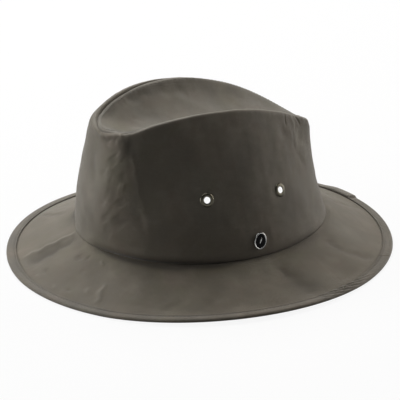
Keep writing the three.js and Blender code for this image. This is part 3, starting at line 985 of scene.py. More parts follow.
def wall_relief(angle, distance, points, sewing):
    """Height of the wall's outer face above its plain shape, and the finer part of it that the marks follow
    with wear,
    painted highlight and painted shade: the seams, the tuck at the foot and the creases, without the foot's
    roll and the soft unevenness."""
    seam = section_paths(angle)[4][:, None]
    roll, beside = seam_relief(angle, seam - distance, sewing)
    tucked = shade(angle, FOOT_SHADE_FADES)
    tuck = -TUCK_DEPTH * np.exp(-distance / TUCK_REACH) * tucked
    foot_roll = FOOT_ROLL_HEIGHT * bell(distance - FOOT_ROLL_PLACE, FOOT_ROLL_HALF_WIDTH) * tucked
    foot_roll = foot_roll + PLAIN_ROLL_HEIGHT * np.exp(-distance / PLAIN_ROLL_REACH) * (1.0 - tucked)
    from_back = wrapped(angle[:, None] - 180.0) * WALL_DEGREE
    back_seam = -BACK_SEAM_DEPTH * bell(from_back, BACK_SEAM_HALF_WIDTH)
    free = np.clip(1.0 - pressed(angle[:, None], distance, (*EYELETS.values(), BADGE)), 0.0, 1.0)
    crease = creases(WALL_CREASES, angle[:, None], distance, WALL_DEGREE) * free
    soft = unevenness(points, WALL_UNEVENNESS) * smooth_step(distance, *WALL_EASE) * free
    fine = roll + tuck + back_seam + crease + beside
    return fine + foot_roll + soft, fine


def wall_marks(angle, distance, fine):
    """Paling and darkening marks of the wall: by its relief and its patches of painted light and shade, with
    wear and painted highlight along its fold, painted light on the ledge past it, and painted shade at its
    foot."""
    shade_and_soil, light_and_paling = light_and_handling_patches(WALL_PATCHES, angle[:, None], distance, WALL_DEGREE)
    # Painted shade along the wall's foot above the brim
    foot = FOOT_PAINTED_SHADE * np.exp(-distance / FOOT_PAINTED_SHADE_REACH) * shade(angle, FOOT_SHADE_FADES)
    wear_and_highlight, shade_and_dirt = wear_and_shade_marks("wall", fine, shade_and_soil + foot, light_and_paling)
    past_fold = distance - section_paths(angle)[3][:, None]
    # Wear and painted highlight along the fold, then painted light on the ledge past it
    fold_wear_and_highlight = FOLD_WEAR_AND_HIGHLIGHT_LEAST + FOLD_WEAR_AND_HIGHLIGHT_MORE * shade(angle, SEAM_SHADE_FADES)
    wear_and_highlight = wear_and_highlight + fold_wear_and_highlight * bell(past_fold, FOLD_WEAR_AND_HIGHLIGHT_HALF_WIDTH)
    return wear_and_highlight + LEDGE_PAINTED_LIGHT * smooth_step(past_fold, *LEDGE_START), shade_and_dirt


def wall_piece(sewing, material):
    """The crown's wall as a closed shell: rows up its outer face, over the seam and down its inner face."""
    angle = column_angles(WALL_COLUMNS)
    outer_share = eased_shares(WALL_ROWS, WALL_CROWDING)
    distance = wall_distance(angle, outer_share)
    outer = wall_point(angle, outer_share)
    relief, fine = wall_relief(angle, distance, outer, sewing)
    outer_face = outer + normals(wall_point, angle, outer_share) * relief[..., None]
    inner_share = np.linspace(1.0, 0.0, WALL_INNER_ROWS)
    inner_distance = wall_distance(angle, inner_share)
    inner = wall_point(angle, inner_share)
    lift = unevenness(inner, WALL_UNEVENNESS[:1]) * smooth_step(inner_distance, *WALL_EASE)
    lift = lift + (CLOTH - PRESSED_CLOTH) * pressed(angle[:, None], inner_distance, EYELETS.values())
    inner_face = inner + normals(wall_point, angle, inner_share) * (lift - CLOTH)[..., None]
    points = crown_to_hat(np.concatenate([outer_face, inner_face], 1))
    faces = facing_out(points.reshape(-1, 3), grid_faces(WALL_COLUMNS, points.shape[1], True))
    wear_and_highlight, shade_and_dirt = wall_marks(angle, distance, fine)
    plain = np.zeros(inner.shape[:2])
    marks = {"wear_and_highlight": np.concatenate([wear_and_highlight, plain], 1), "shade_and_dirt": np.concatenate([shade_and_dirt, plain + INNER_DARKENING], 1)}
    round_joint = arc_lengths(oval(JOINT_HALF_WIDTH, JOINT_HALF_LENGTH, angle))
    across = np.repeat(round_joint[:, None], points.shape[1], 1)
    grain = grid_grain(across, once_more(np.concatenate([distance, inner_distance], 1)), True)
    piece = make_mesh("crown_wall_cloth", points.reshape(-1, 3), faces, material, grain, marks)
    for place in EYELETS.values():
        drill_hole(piece, place, EYELET_HOLE_RADIUS)
    drill_hole(piece, BADGE, RIVET_RADIUS + GAP / 2)
    return piece


# Crown tip


def tip_relief(angle, share, points, sewing):
    """Height of the tip above its plain shape: rolled seam edge with puckers, soft hollows and
    unevenness. Then the part of it that the marks follow with wear, painted highlight and painted shade."""
    away = tip_away(angle, share)
    roll, beside = seam_relief(angle, away, sewing)
    hollow = creases(TIP_CREASES, angle[:, None], away, TIP_DEGREE)
    soft = unevenness(points, TIP_UNEVENNESS) * smooth_step(away, *TIP_EASE)
    fine = TIP_SEAM_SHARE * roll + beside + TIP_HOLLOW_SHARE * hollow
    return roll + beside + hollow + soft, fine


def spine_merged(columns, rows, faces):
    """Renumbers the last row of each column to that of its mirror column, so that both halves share the
    spine."""
    number = np.arange(columns * rows).reshape(columns, rows)
    number[columns // 2 + 1 :, -1] = number[1 : columns // 2, -1][::-1]
    return number.ravel()[faces]


def tip_faces(columns):
    """Faces of the tip: its top, the rim that joins both sheets at the seam, and its underside turned
    over."""
    top = spine_merged(columns, TIP_ROWS, grid_faces(columns, TIP_ROWS, False))
    under = spine_merged(columns, TIP_UNDER_ROWS, grid_faces(columns, TIP_UNDER_ROWS, False))
    first = columns * TIP_ROWS
    here = np.arange(columns)
    after = (here + 1) % columns
    rim = [here * TIP_ROWS, first + here * TIP_UNDER_ROWS, first + after * TIP_UNDER_ROWS, after * TIP_ROWS]
    return np.concatenate([top, np.stack(rim, -1), (under + first)[:, ::-1]])


def tip_piece(sewing, material):
    """The crown's tip as a closed shell: its top from seam to spine and its underside back again."""
    columns = WALL_COLUMNS
    angle = column_angles(columns)
    top_share = np.linspace(0.0, 1.0, TIP_ROWS) ** TIP_CROWDING
    top = tip_point(angle, top_share)
    relief, fine = tip_relief(angle, top_share, top, sewing)
    top_face = top + normals(tip_point, angle, top_share) * relief[..., None]
    under_share = np.linspace(0.0, 1.0, TIP_UNDER_ROWS)
    under = tip_point(angle, under_share)
    soft = unevenness(under, TIP_UNEVENNESS[:1]) * smooth_step(tip_away(angle, under_share), *TIP_EASE)
    under_face = under + normals(tip_point, angle, under_share) * (soft - CLOTH)[..., None]
    mirrored = (-np.arange(columns)) % columns
    # Columns that mirror each other end in one point of the spine
    for sheet in (top_face, under_face):
        sheet[:, -1] = (sheet[:, -1] + sheet[mirrored, -1]) / 2
        sheet[:, -1, 0] = 0.0
    points = crown_to_hat(np.concatenate([top_face.reshape(-1, 3), under_face.reshape(-1, 3)]))
    # Patches of painted light and shade on the tip, which also stand for handling marks
    shade_and_soil, light_and_paling = light_and_handling_patches(TIP_PATCHES, angle[:, None], tip_away(angle, top_share), TIP_DEGREE)
    wear_and_highlight, shade_and_dirt = wear_and_shade_marks("tip", fine, shade_and_soil, light_and_paling)
    plain = np.zeros(columns * TIP_UNDER_ROWS)
    marks = {"wear_and_highlight": np.append(wear_and_highlight.ravel(), plain), "shade_and_dirt": np.append(shade_and_dirt.ravel(), plain + INNER_DARKENING)}
    faces = tip_faces(columns)
    # Points of the spine that no face uses are dropped
    used = np.zeros(len(points), bool)
    used[faces.ravel()] = True
    faces = (np.cumsum(used) - 1)[faces]
    points = points[used]
    marks = {mark: values[used] for mark, values in marks.items()}
    return make_mesh("crown_tip_cloth", points, faces, material, points[faces][:, :, :2], marks)


# Brim


def edge_rise(angle):
    """Height of the brim's edge above the floor: three waves, cut off where the edge lies on the floor."""
    wave = WAVE_HEIGHT * np.cos(np.radians(WAVE_COUNT * (angle - WAVE_ANGLE)))
    return np.maximum(0.0, wave + WAVE_LIFT)


def brim_middle(angle, inward):
    """Middle of the brim's cloth at a share of the way from edge to joint. It rises from the level strip
    at the edge by a power of the distance, with the folds added."""
    joint = crown_to_hat(oval(JOINT_HALF_WIDTH, JOINT_HALF_LENGTH, angle))
    joint[:, 2] -= GAP + BRIM_CLOTH / 2
    edge = oval(EDGE_HALF_WIDTH, EDGE_HALF_LENGTH, angle)
    edge[:, 2] = edge_rise(angle) + BINDING_CLOTH + GAP + BRIM_CLOTH / 2
    width = np.hypot(*(edge - joint)[:, :2].T)[:, None]
    share = np.broadcast_to(inward, (len(angle), np.shape(inward)[-1]))
    distance = share * width
    climb = (np.maximum(0.0, distance - LEVEL_STRIP) / (width - LEVEL_STRIP)) ** BRIM_CURVE
    point = edge[:, None] + share[..., None] * (joint - edge)[:, None]
    fold = dents(BRIM_FOLDS, angle[:, None], distance) * np.sqrt(climb * np.maximum(0.0, 1.0 - share))
    point[..., 2] = edge[:, None, 2] + climb * (joint - edge)[:, None, 2] + fold
    return point


def brim_width(angle):
    """Straight distance from the brim's edge to the joint."""
    ends = brim_middle(angle, np.array([0.0, 1.0]))
    return np.linalg.norm(ends[:, 1] - ends[:, 0], axis=-1)[:, None]


def brim_layer(angle, distance, height):
    """Point of the brim at a distance in from its edge and a height above the middle of its cloth."""
    share = distance / brim_width(angle)
    return brim_middle(angle, share) + normals(brim_middle, angle, share) * np.asarray(height)[..., None]


def binding_puckers(angle, sewing):
    """Ripples that the binding's stitches draw up, as a sine of the distance round the edge, uneven in
    strength. Gives their strength, their phase and the distance round the edge."""
    dense = column_angles(LINE_SAMPLES)
    length = arc_lengths(oval(EDGE_HALF_WIDTH, EDGE_HALF_LENGTH, dense))
    place = np.interp(np.mod(angle, 360.0), np.append(dense, 360.0), length)
    count = round(length[-1] / BINDING_PUCKER_LENGTH)
    phase = 2 * np.pi * count * place / length[-1]
    swell = np.sin(phase / BINDING_PUCKER_SWELL + BINDING_SWELL_PHASE)
    strength = sewing.pucker_depth / MM * (BINDING_PUCKER_MEAN + (1.0 - BINDING_PUCKER_MEAN) * swell)
    return strength[:, None], phase[:, None], place[:, None]


def brim_relief(angle, distance, points, sewing):
    """Height that the brim's cloth is moved by: puckers and a pressed groove beside the binding, creases and
    soft crumpling. Then the part of it that the marks follow with wear, painted highlight and painted shade."""
    strength, phase, _ = binding_puckers(angle, sewing)
    beyond = np.maximum(0.0, distance - BINDING_WIDTH)
    pucker = BRIM_PUCKER_SHARE * strength * np.sin(phase - distance / BRIM_PUCKER_SLANT)
    pucker = pucker * np.exp(-beyond / BRIM_PUCKER_REACH) * smooth_step(distance, *PUCKER_EASE)
    to_joint = 1.0 - distance / brim_width(angle)
    fade = smooth_step(distance, *BRIM_EASE) * smooth_step(to_joint, *JOINT_EASE)
    crease = creases(BRIM_CREASES, angle[:, None], distance, BRIM_DEGREE)
    crumpling = unevenness(points, BRIM_CRUMPLING) * shade(angle, BRIM_SMOOTH_FADES)
    soft = unevenness(points, BRIM_UNEVENNESS) + crumpling
    groove = -PRESSED_GROOVE_DEPTH * bell(distance - PRESSED_GROOVE_PLACE, PRESSED_GROOVE_HALF_WIDTH)
    groove = groove * shade(angle, BINDING_SHADE_FADES)
    return (crease + soft) * fade + pucker + groove, crease * fade + pucker


def brim_marks(angle, distance, fine):
    """Paling and darkening marks of the brim's top: by its relief and its patches of painted light and shade,
    and a painted shadow along the crown's foot."""
    shade_and_soil, light_and_paling = light_and_handling_patches(BRIM_PATCHES, angle[:, None], distance, BRIM_DEGREE)
    reach = JOINT_REACH_LEAST + JOINT_REACH_MORE * shade(angle, JOINT_REACH_FADES)
    shadow = JOINT_SHADOW * bell(distance - brim_width(angle), reach) * shade(angle, FOOT_SHADE_FADES)
    return wear_and_shade_marks("brim", fine, shade_and_soil + shadow, light_and_paling)


def collar_point(angle, height, inset):
    """Point of the collar that stands inside the crown: up the wall's section and in from its outer face."""
    share = height / section_paths(angle)[4][:, None]
    point = wall_point(angle, share) - normals(wall_point, angle, share) * inset
    return crown_to_hat(point)[:, 0]


def brim_sheet(angle, share, side, sewing):
    """A face of the brim at shares of the way from its edge to the joint, on one side of the middle of its
    cloth: its points, their distances from the binding's edge and the relief that shows wear."""
    width = brim_width(angle)
    inset = BINDING_CLOTH + GAP
    distance = inset + share * (width - inset)
    relief, fine = brim_relief(angle, distance, brim_middle(angle, distance / width), sewing)
    return brim_layer(angle, distance, relief + side), distance, fine


def brim_piece(sewing, material):
    """The brim as a closed shell: up and down its collar, out along the top, round the edge and back
    under."""
    angle = column_angles(BRIM_COLUMNS)
    top_share = eased_shares(BRIM_ROWS, BRIM_CROWDING)[::-1]
    under_share = np.linspace(0.0, 1.0, BRIM_UNDER_ROWS)
    top, distance, fine = brim_sheet(angle, top_share, BRIM_CLOTH / 2, sewing)
    under, _, _ = brim_sheet(angle, under_share, -BRIM_CLOTH / 2, sewing)
    outside = CLOTH + GAP
    inside = outside + BRIM_CLOTH
    collar = [collar_point(angle, COLLAR_HEIGHT, inside)]
    collar += [collar_point(angle, COLLAR_HEIGHT * share, outside) for share in COLLAR_SHARES]
    collar += [collar_point(angle, 0.0, outside) - np.array([0, 0, GAP])]
    under_corner = collar_point(angle, 0.0, inside) - np.array([0, 0, GAP + BRIM_CLOTH])
    points = np.concatenate([np.stack(collar, 1), top, under, under_corner[:, None]], 1)
    faces = facing_out(points.reshape(-1, 3), grid_faces(BRIM_COLUMNS, points.shape[1], True))
    top_rows = slice(len(collar), len(collar) + BRIM_ROWS)
    wear_and_highlight, shade_and_dirt = np.zeros((2, *points.shape[:2]))
    wear_and_highlight[:, top_rows], shade_and_dirt[:, top_rows] = brim_marks(angle, distance, fine)
    place = once_more(points[..., :2])
    grain = grid_grain(place[..., 0], place[..., 1], True)
    marks = {"wear_and_highlight": wear_and_highlight, "shade_and_dirt": shade_and_dirt}
    return make_mesh("brim_cloth", points.reshape(-1, 3), faces, material, grain, marks)


# Binding


def binding_profile():
    """Closed outline of the folded strip: distances in from the edge and heights above the cloth's
    middle. Its visible side runs over the top, round the edge as two quarters of ellipses and back
    underneath."""
    inner = BRIM_CLOTH / 2 + GAP
    outer = inner + BINDING_CLOTH
    above = BRIM_CLOTH / 2 + BINDING_SEAT
    width = BINDING_WIDTH
    top = [(width - back, above + (BINDING_TOP - above) * (1.0 - down)) for back, down in BINDING_LIP]
    top += [(distance, BINDING_TOP) for distance in BINDING_TOP_PLACES]
    wide, narrow = BEND_UNDER_HALF_WIDTH, BEND_TOP_HALF_WIDTH
    bend = arc((narrow, BEND_CENTRE), narrow, BINDING_TOP - BEND_CENTRE, 98, 180, 7)
    bend += arc((wide, BEND_CENTRE), wide, outer + BEND_CENTRE, 195, 265, 7)
    under = [(distance, -outer) for distance in (*BINDING_UNDER_PLACES, width - BINDING_UNDER_LIP)]
    under += [(width, BINDING_UNDER_LIP - outer)]
    lining = [(place, -inner) for place in (width, BINDING_LINING_PLACE, BINDING_CLOTH)]
    lining += [(place, above) for place in (BINDING_CLOTH, BINDING_LINING_PLACE)]
    return np.array(top + bend + under + lining), len(top)


def binding_relief(angle, distance, sewing):
    """Height of the binding's top above its plain shape: slanting puckers, a groove under the stitches,
    the twist of the strip at the wearer's left, its overlapping end at the back and the join behind the
    left side."""
    strength, phase, place = binding_puckers(angle, sewing)
    pucker = BINDING_PUCKER_SHARE * strength * np.sin(phase - distance / BINDING_PUCKER_SLANT)
    twist = np.sin(2 * np.pi * (place / TWIST_LENGTH + distance / TWIST_SLANT))
    twist = twist * bell(distance - TWIST_PLACE, TWIST_HALF_WIDTH)
    twist = twist * bell(wrapped(angle - TWIST_ANGLE), TWIST_HALF_ANGLE)[:, None]
    from_stitches = distance - (BINDING_WIDTH - STITCH_INSET)
    groove = -STITCH_GROOVE_DEPTH * bell(from_stitches, STITCH_GROOVE_HALF_WIDTH)
    swelling = BINDING_SWELLING * bell(distance - BINDING_SWELLING_PLACE, BINDING_SWELLING_HALF_WIDTH)
    past_overlap = wrapped(angle[:, None] - OVERLAP_ANGLE) - OVERLAP_SLANT * distance
    overlap = smooth_step(past_overlap, *OVERLAP_START) * smooth_step(-past_overlap, *OVERLAP_END)
    past_join = wrapped(angle[:, None] - JOIN_ANGLE) * BRIM_DEGREE + JOIN_SLANT * distance
    join = -JOIN_DEPTH * bell(past_join, JOIN_HALF_WIDTH)
    return pucker + twist + groove + swelling + OVERLAP_HEIGHT * overlap + join


def binding_piece(sewing, material):
    """The binding: its outline carried round the brim's edge, flattened where it lies on the floor."""
    angle = column_angles(BINDING_COLUMNS)
    profile, top_count = binding_profile()
    distance = np.broadcast_to(profile[:, 0], (BINDING_COLUMNS, len(profile)))
    relief = binding_relief(angle, distance, sewing)
    visible = np.zeros(len(profile))
    visible[2:top_count] = 1.0
    visible[top_count : top_count + len(BEND_SHARES)] = BEND_SHARES
    points = brim_layer(angle, distance, profile[None, :, 1] + relief * visible)
    points[..., 2] = np.maximum(0.0, points[..., 2])
    faces = facing_out(points.reshape(-1, 3), grid_faces(BINDING_COLUMNS, len(profile), True))
    place = arc_lengths(oval(EDGE_HALF_WIDTH, EDGE_HALF_LENGTH, angle))[:, None]
    steps = np.linalg.norm(np.diff(profile, axis=0), axis=-1)
    across = np.concatenate([[0.0], np.cumsum(steps)])[None, :]
    grain = grid_grain((place + across) * math.sqrt(0.5), (place - across) * math.sqrt(0.5), True)
    shaded = shade(angle, BINDING_SHADE_FADES)
    # Wear and painted light round the binding's outer edge, fainter at the front
    edge = bell(profile[:, 0], BINDING_EDGE_WEAR_AND_LIGHT_HALF_WIDTH) * (BINDING_EDGE_WEAR_AND_LIGHT_LEAST + BINDING_EDGE_WEAR_AND_LIGHT_MORE * shaded)
    # Painted shade on the cut edge of the binding's lip
    cut = (np.arange(len(profile)) < 2) * CUT_EDGE_PAINTED_SHADE * shaded
    wear_and_highlight, shade_and_dirt = wear_and_shade_marks("binding", relief, 0.0, 0.0)
    marks = {"wear_and_highlight": edge + wear_and_highlight * visible, "shade_and_dirt": cut + shade_and_dirt * visible}
    return make_mesh("brim_binding_cloth", points.reshape(-1, 3), faces, material, grain, marks)


# Stitches


def thread_loops(centre, ahead, upward, sewing):
    """Short sewn loops of thread, each a bowed tube: its centreline rises by a cosine of its length, and its
    sides close to a point at both ends."""
    half = sewing.stitch_length / MM / 2
    radius = sewing.thread_radius / MM
    share = np.array(THREAD_SHARES)
    turn = np.linspace(0.0, 2 * np.pi, THREAD_SIDES, endpoint=False)
    sideways = unit(np.cross(ahead, upward))
    thickness = radius * np.sqrt(1.0 - share**4)
    lift = radius * THREAD_BOW * np.cos(share * np.pi / 2) - radius * THREAD_SINK
    line = centre[:, None] + ahead[:, None] * (share * half)[None, :, None]
    line = line + upward[:, None] * lift[None, :, None]
    ring = sideways[:, None, None] * np.cos(turn)[None, None, :, None]
    ring = ring + upward[:, None, None] * np.sin(turn)[None, None, :, None]
    tubes = (line[:, :, None] + ring * thickness[None, :, None, None]).reshape(len(centre), -1, 3)
    ends = centre[:, None] + ahead[:, None] * np.array([-half, half])[None, :, None]
    ends = ends - upward[:, None] * (radius * THREAD_END_SINK)
    points = np.concatenate([tubes, ends], 1)
    faces = loop_faces()[None] + (np.arange(len(centre)) * points.shape[1])[:, None, None]
    return points.reshape(-1, 3), faces.reshape(-1, 4)


def loop_faces():
    """Faces of one loop of thread: quads between its rings of points, then triangles to its two end points,
    written as quads with their last corner twice."""
    rings = len(THREAD_SHARES)
    side = np.arange(THREAD_SIDES)
    after = (side + 1) % THREAD_SIDES
    number = grid_faces(THREAD_SIDES, rings, False)
    quads = number % rings * THREAD_SIDES + number // rings
    start = np.full(THREAD_SIDES, rings * THREAD_SIDES)
    last_ring = (rings - 1) * THREAD_SIDES
    first = np.stack([after, side, start, start], -1)
    last = np.stack([last_ring + side, last_ring + after, start + 1, start + 1], -1)
    return np.concatenate([quads, first, last])


def tidy_faces(faces):
    """Lists of vertex numbers, with a repeated last corner dropped."""
    return [list(face[:3]) if face[2] == face[3] else list(face) for face in faces.tolist()]


def square_to(upward, ahead):
    """Upward directions made square to the directions ahead."""
    return unit(upward - ahead * (upward * ahead).sum(-1, keepdims=True))


def stitch_line(surface, length, sewing):
    """Angles, places and directions of stitches along a closed line given as a function of the angle."""
    count = round(length / (sewing.stitch_pitch / MM))
    angle = (np.arange(count) + 0.5) * (360.0 / count)
    ahead = unit(surface(angle + STITCH_STEP) - surface(angle - STITCH_STEP))
    return angle, surface(angle), ahead


def brim_stitches(sewing, material):
    """Stitches that hold the binding, on its top and under it."""
    length = arc_lengths(oval(EDGE_HALF_WIDTH, EDGE_HALF_LENGTH, column_angles(BRIM_COLUMNS)))[-1]
    place = np.array([BINDING_WIDTH - STITCH_INSET])
    low = np.array([-(BRIM_CLOTH / 2 + GAP + BINDING_CLOTH)])

    def top(angle):
        distance = place + 0.0 * angle[:, None]
        height = BINDING_TOP + binding_relief(angle, distance, sewing)
        return brim_layer(angle, distance, height)[:, 0]

    def bottom(angle):
        return brim_layer(angle, place + 0.0 * angle[:, None], low)[:, 0]

    points, faces, count = [], [], 0
    for line, side in ((top, 1.0), (bottom, -1.0)):
        angle, centre, ahead = stitch_line(line, length, sewing)
        upward = side * normals(brim_middle, angle, place / brim_width(angle))[:, 0]
        loop_points, quads = thread_loops(centre, ahead, square_to(upward, ahead), sewing)
        points.append(loop_points)
        faces.append(quads + count)
        count += len(loop_points)
    points = np.concatenate(points)
    points[:, 2] = np.maximum(points[:, 2], 0.0)
    return make_mesh("binding_stitches", points, tidy_faces(np.concatenate(faces)), material)


def tip_stitches(sewing, material):
    """Fine stitches through the folded edge just inside the tip's seam."""

    def inset_share(angle):
        _, along, _, _, seam = section_paths(angle)
        return TIP_STITCH_INSET / (along[:, -1] - seam)[:, None]

    def line(angle):
        share = inset_share(angle)
        point = tip_point(angle, share)
        relief, _ = tip_relief(angle, share, point, sewing)
        return crown_to_hat(point + normals(tip_point, angle, share) * relief[..., None])[:, 0]

    _, length = seam_arc(np.array([0.0]))
    angle, centre, ahead = stitch_line(line, length, sewing)
    upward = normals(tip_point, angle, inset_share(angle))[:, 0]
    points, faces = thread_loops(centre, ahead, square_to(upward, ahead), sewing)
    return make_mesh("tip_stitches", points, tidy_faces(faces), material)


# Eyelets and badge


def turned_ring(profile, sides, matrix, half_width=1.0, half_height=1.0):
    """A closed profile turned into a ring and carried to its place: points, faces and each point's
    profile row."""
    points = turned_points(np.array(profile), sides, half_width, half_height)
    rows = points.shape[1]
    faces = facing_out(points.reshape(-1, 3), grid_faces(sides, rows, True))
    return placed(points, matrix).reshape(-1, 3), faces, np.tile(np.arange(rows), sides)


def join_rings(name, rings, material):
    """Several turned rings as one mesh."""
    points, faces, count = [], [], 0
    for ring_points, ring_faces, _ in rings:
        points.append(ring_points)
        faces.append(ring_faces + count)
        count += len(ring_points)
    return make_mesh(name, np.concatenate(points), np.concatenate(faces), material)


def eyelet_piece(name, place, material):
    """An eyelet: a rolled front flange over a barrel that widens inwards to the flat washer inside the
    crown."""
    seat = GAP / 2
    back = -PRESSED_CLOTH - GAP / 2
    crest = seat + EYELET_FLANGE * LIP_SHARE
    barrel = EYELET_HOLE_RADIUS - GAP / 2
    washer = EYELET_BACK_RADIUS + EYELET_WASHER_WIDTH
    washer_back = back - EYELET_WASHER
    lip = (EYELET_BORE_RADIUS + LIP_PLACE, seat + LIP_FOOT)
    edge_in, edge_up = FLANGE_EDGE
    profile = [(barrel - THROAT_METAL, washer_back), (EYELET_BORE_RADIUS + THROAT_PLACE, THROAT_HEIGHT)]
    profile += arc(lip, LIP_INNER_HALF_WIDTH, crest - lip[1], 180, 90, 8)
    profile += arc(lip, LIP_OUTER_HALF_WIDTH, crest - lip[1], 82, 8, 9)
    profile += [(EYELET_RADIUS, seat + edge_up), (EYELET_RADIUS - edge_in, seat)]
    profile += [(EYELET_BARREL_RADIUS + BARREL_FILLET, seat)]
    profile += [(barrel, BARREL_HEIGHT), (barrel, back), (washer, back), (washer, washer_back)]
    points, faces, row = turned_ring(profile, TURN_SIDES, wall_frame(place))
    radius, height = np.array(profile)[row].T
    # Worn brass with a painted highlight at the lip's crest and at the flange's edge
    crest_wear_and_highlight = EYELET_CREST_WEAR_AND_HIGHLIGHT[0] * bell(height - crest, EYELET_CREST_WEAR_AND_HIGHLIGHT[1])
    edge_wear_and_highlight = EYELET_EDGE_WEAR_AND_HIGHLIGHT[0] * bell(radius - EYELET_RADIUS, EYELET_EDGE_WEAR_AND_HIGHLIGHT[1]) * (height > 0)
    return make_mesh(name, points, faces, material, marks={"wear_and_highlight": np.clip(crest_wear_and_highlight + edge_wear_and_highlight, 0, 1)})


def badge_frame_piece(matrix, material):
    """The badge's metal: an oval dish with a rounded rim, a small plain lozenge standing in it, and the
    rivet through the cloth."""
    seat = GAP
    top = seat + BADGE_THICKNESS
    floor = seat + BADGE_FLOOR
    rim = 1.0 - BADGE_RIM / BADGE_HALF_WIDTH
    fillet_in, fillet_up = DISH_FILLET
    outline = [(share, seat + height) for share, height in DISH_BACK]
    rounding = DISH_RIM_ROUNDING
    outline += arc(((1.0 + rim) / 2, top - rounding), (1.0 - rim) / 2, rounding, 0, 180, 12)
    outline += [(rim, floor + fillet_up), (rim - fillet_in, floor)]
    outline += [(DISH_FLOOR_SHARE, floor), (AXIS_SHARE, floor)]
    dish = turned_ring(outline, TURN_SIDES, matrix, BADGE_HALF_WIDTH, BADGE_HALF_HEIGHT)
    low = top - LOZENGE_HEIGHT
    crest = top + LOZENGE_BEVEL
    outline = [(AXIS_SHARE, low), (1.0, low), (1.0, top), (LOZENGE_FLAT_SHARE, crest), (AXIS_SHARE, crest)]
    lozenge = turned_ring(outline, 4, matrix, LOZENGE_HALF_WIDTH, LOZENGE_HALF_HEIGHT)
    back = -CLOTH - GAP
    head = back - RIVET_HEAD
    corner = RIVET_HEAD_RADIUS - RIVET_ROUNDING
    outline = [(AXIS_RADIUS, head), (corner, head)]
    outline += arc((corner, head + RIVET_ROUNDING), RIVET_ROUNDING, RIVET_ROUNDING, -80, 80, 6)
    tenon = seat + RIVET_TENON
    outline += [(RIVET_RADIUS, back), (RIVET_RADIUS, tenon), (AXIS_RADIUS, tenon)]
    rivet = turned_ring(outline, TURN_SIDES, matrix)
    return join_rings("badge_metal", (dish, lozenge, rivet), material)


def badge_enamel_piece(matrix, material):
    """The badge's enamel: a shallow dome filling the dish inside the rim, its height an ellipse of the
    radius."""
    floor = GAP + BADGE_FLOOR + ENAMEL_GAP
    top = GAP + BADGE_THICKNESS
    edge = 1.0 - (BADGE_RIM + ENAMEL_GAP) / BADGE_HALF_WIDTH
    profile = [(AXIS_SHARE, floor), (edge, floor), (edge, top - ENAMEL_EDGE_DROP)]
    for share in ENAMEL_DOME_SHARES:
        dome = ENAMEL_DOME * math.sqrt(1.0 - share * share)
        profile.append((edge * share, top - ENAMEL_DOME_DROP + dome))
    ring = turned_ring(profile, TURN_SIDES, matrix, BADGE_HALF_WIDTH, BADGE_HALF_HEIGHT)
    return join_rings("badge_fill", (ring,), material)


# Finishes


class Signal:
    """An output of a node. Arithmetic on it adds the Math node that does it."""

    def __init__(self, finish, socket):
        self.finish = finish
        self.socket = socket

    def math(self, operation, *values, clamp=False):
        settings = {"operation": operation, "use_clamp": clamp}
        return self.finish.node("ShaderNodeMath", settings, dict(enumerate(values)))

    def __add__(self, other):
        return self.math("ADD", self, other)

    def __radd__(self, other):
        return self.math("ADD", other, self)

    def __sub__(self, other):
        return self.math("SUBTRACT", self, other)

    def __rsub__(self, other):
        return self.math("SUBTRACT", other, self)

    def __mul__(self, other):
        return self.math("MULTIPLY", self, other)

    def __rmul__(self, other):
        return self.math("MULTIPLY", other, self)

    def __truediv__(self, other):
        return self.math("DIVIDE", self, other)

    def __abs__(self):
        return self.math("ABSOLUTE", self)

    def sine(self):
        return self.math("SINE", self)

    def clamped(self):
        return self.math("ADD", self, 0.0, clamp=True)


class Finish:
    """A material and its nodes."""

    def __init__(self, name):
        self.material = bpy.data.materials.new(name)
        self.material.use_nodes = True
        self.tree = self.material.node_tree
        self.tree.nodes.clear()

    def node(self, kind, settings=None, values=None, output=0):
        """Adds a node: its settings first, then its sockets by name or number. Gives one of its outputs."""
        node = self.tree.nodes.new(kind)
        for setting, value in (settings or {}).items():
            setattr(node, setting, value)
        for key, value in (values or {}).items():
            if isinstance(value, Signal):
                self.tree.links.new(value.socket, node.inputs[key])
            else:
                node.inputs[key].default_value = value
        if not node.outputs:
            return None
        return Signal(self, node.outputs[output])

    def place(self):
        """Coordinates in metres in the piece's own frame."""
        return self.node("ShaderNodeTexCoord", output="Object")

    def mark(self, name):
        """Values that the mesh keeps at its points."""
        return self.node("ShaderNodeAttribute", {"attribute_name": name}, output="Fac")

    def noise(self, vector, size, detail=2.0, roughness=0.5, distortion=0.0):
        """Noise whose spots are about as large as size, in metres."""
        values = {"Vector": vector, "Scale": 1.0 / size, "Detail": detail, "Roughness": roughness}
        values["Distortion"] = distortion
        return self.node("ShaderNodeTexNoise", {}, values, "Fac")

    def stretched(self, vector, scale):
        """Coordinates times a scale along each axis."""
        return self.node("ShaderNodeMapping", {}, {"Vector": vector, "Scale": scale})

    def mix(self, share, first, second):
        """Colour between two colours."""
        values = {"Factor": share, 6: first, 7: second}
        return self.node("ShaderNodeMix", {"data_type": "RGBA"}, values, 2)

    def scaled(self, colour, factor):
        """Colour made lighter or darker."""
        colour = colour if isinstance(colour, Signal) else tuple(colour)[:3]
        return self.node("ShaderNodeVectorMath", {"operation": "SCALE"}, {0: colour, "Scale": factor})

    def bump(self, height):
        """Normal of a height in metres."""
        return self.node("ShaderNodeBump", {}, {"Height": height, "Strength": 1.0, "Distance": 1.0})

    def surface(self, values):
        """Ends the nodes in a surface with these values and gives the material."""
        shader = self.node("ShaderNodeBsdfPrincipled", {}, values)
        self.node("ShaderNodeOutputMaterial", {}, {"Surface": shader})
        return self.material


def rgba(colour):
    """A colour with its opacity."""
    return (*colour, 1.0)


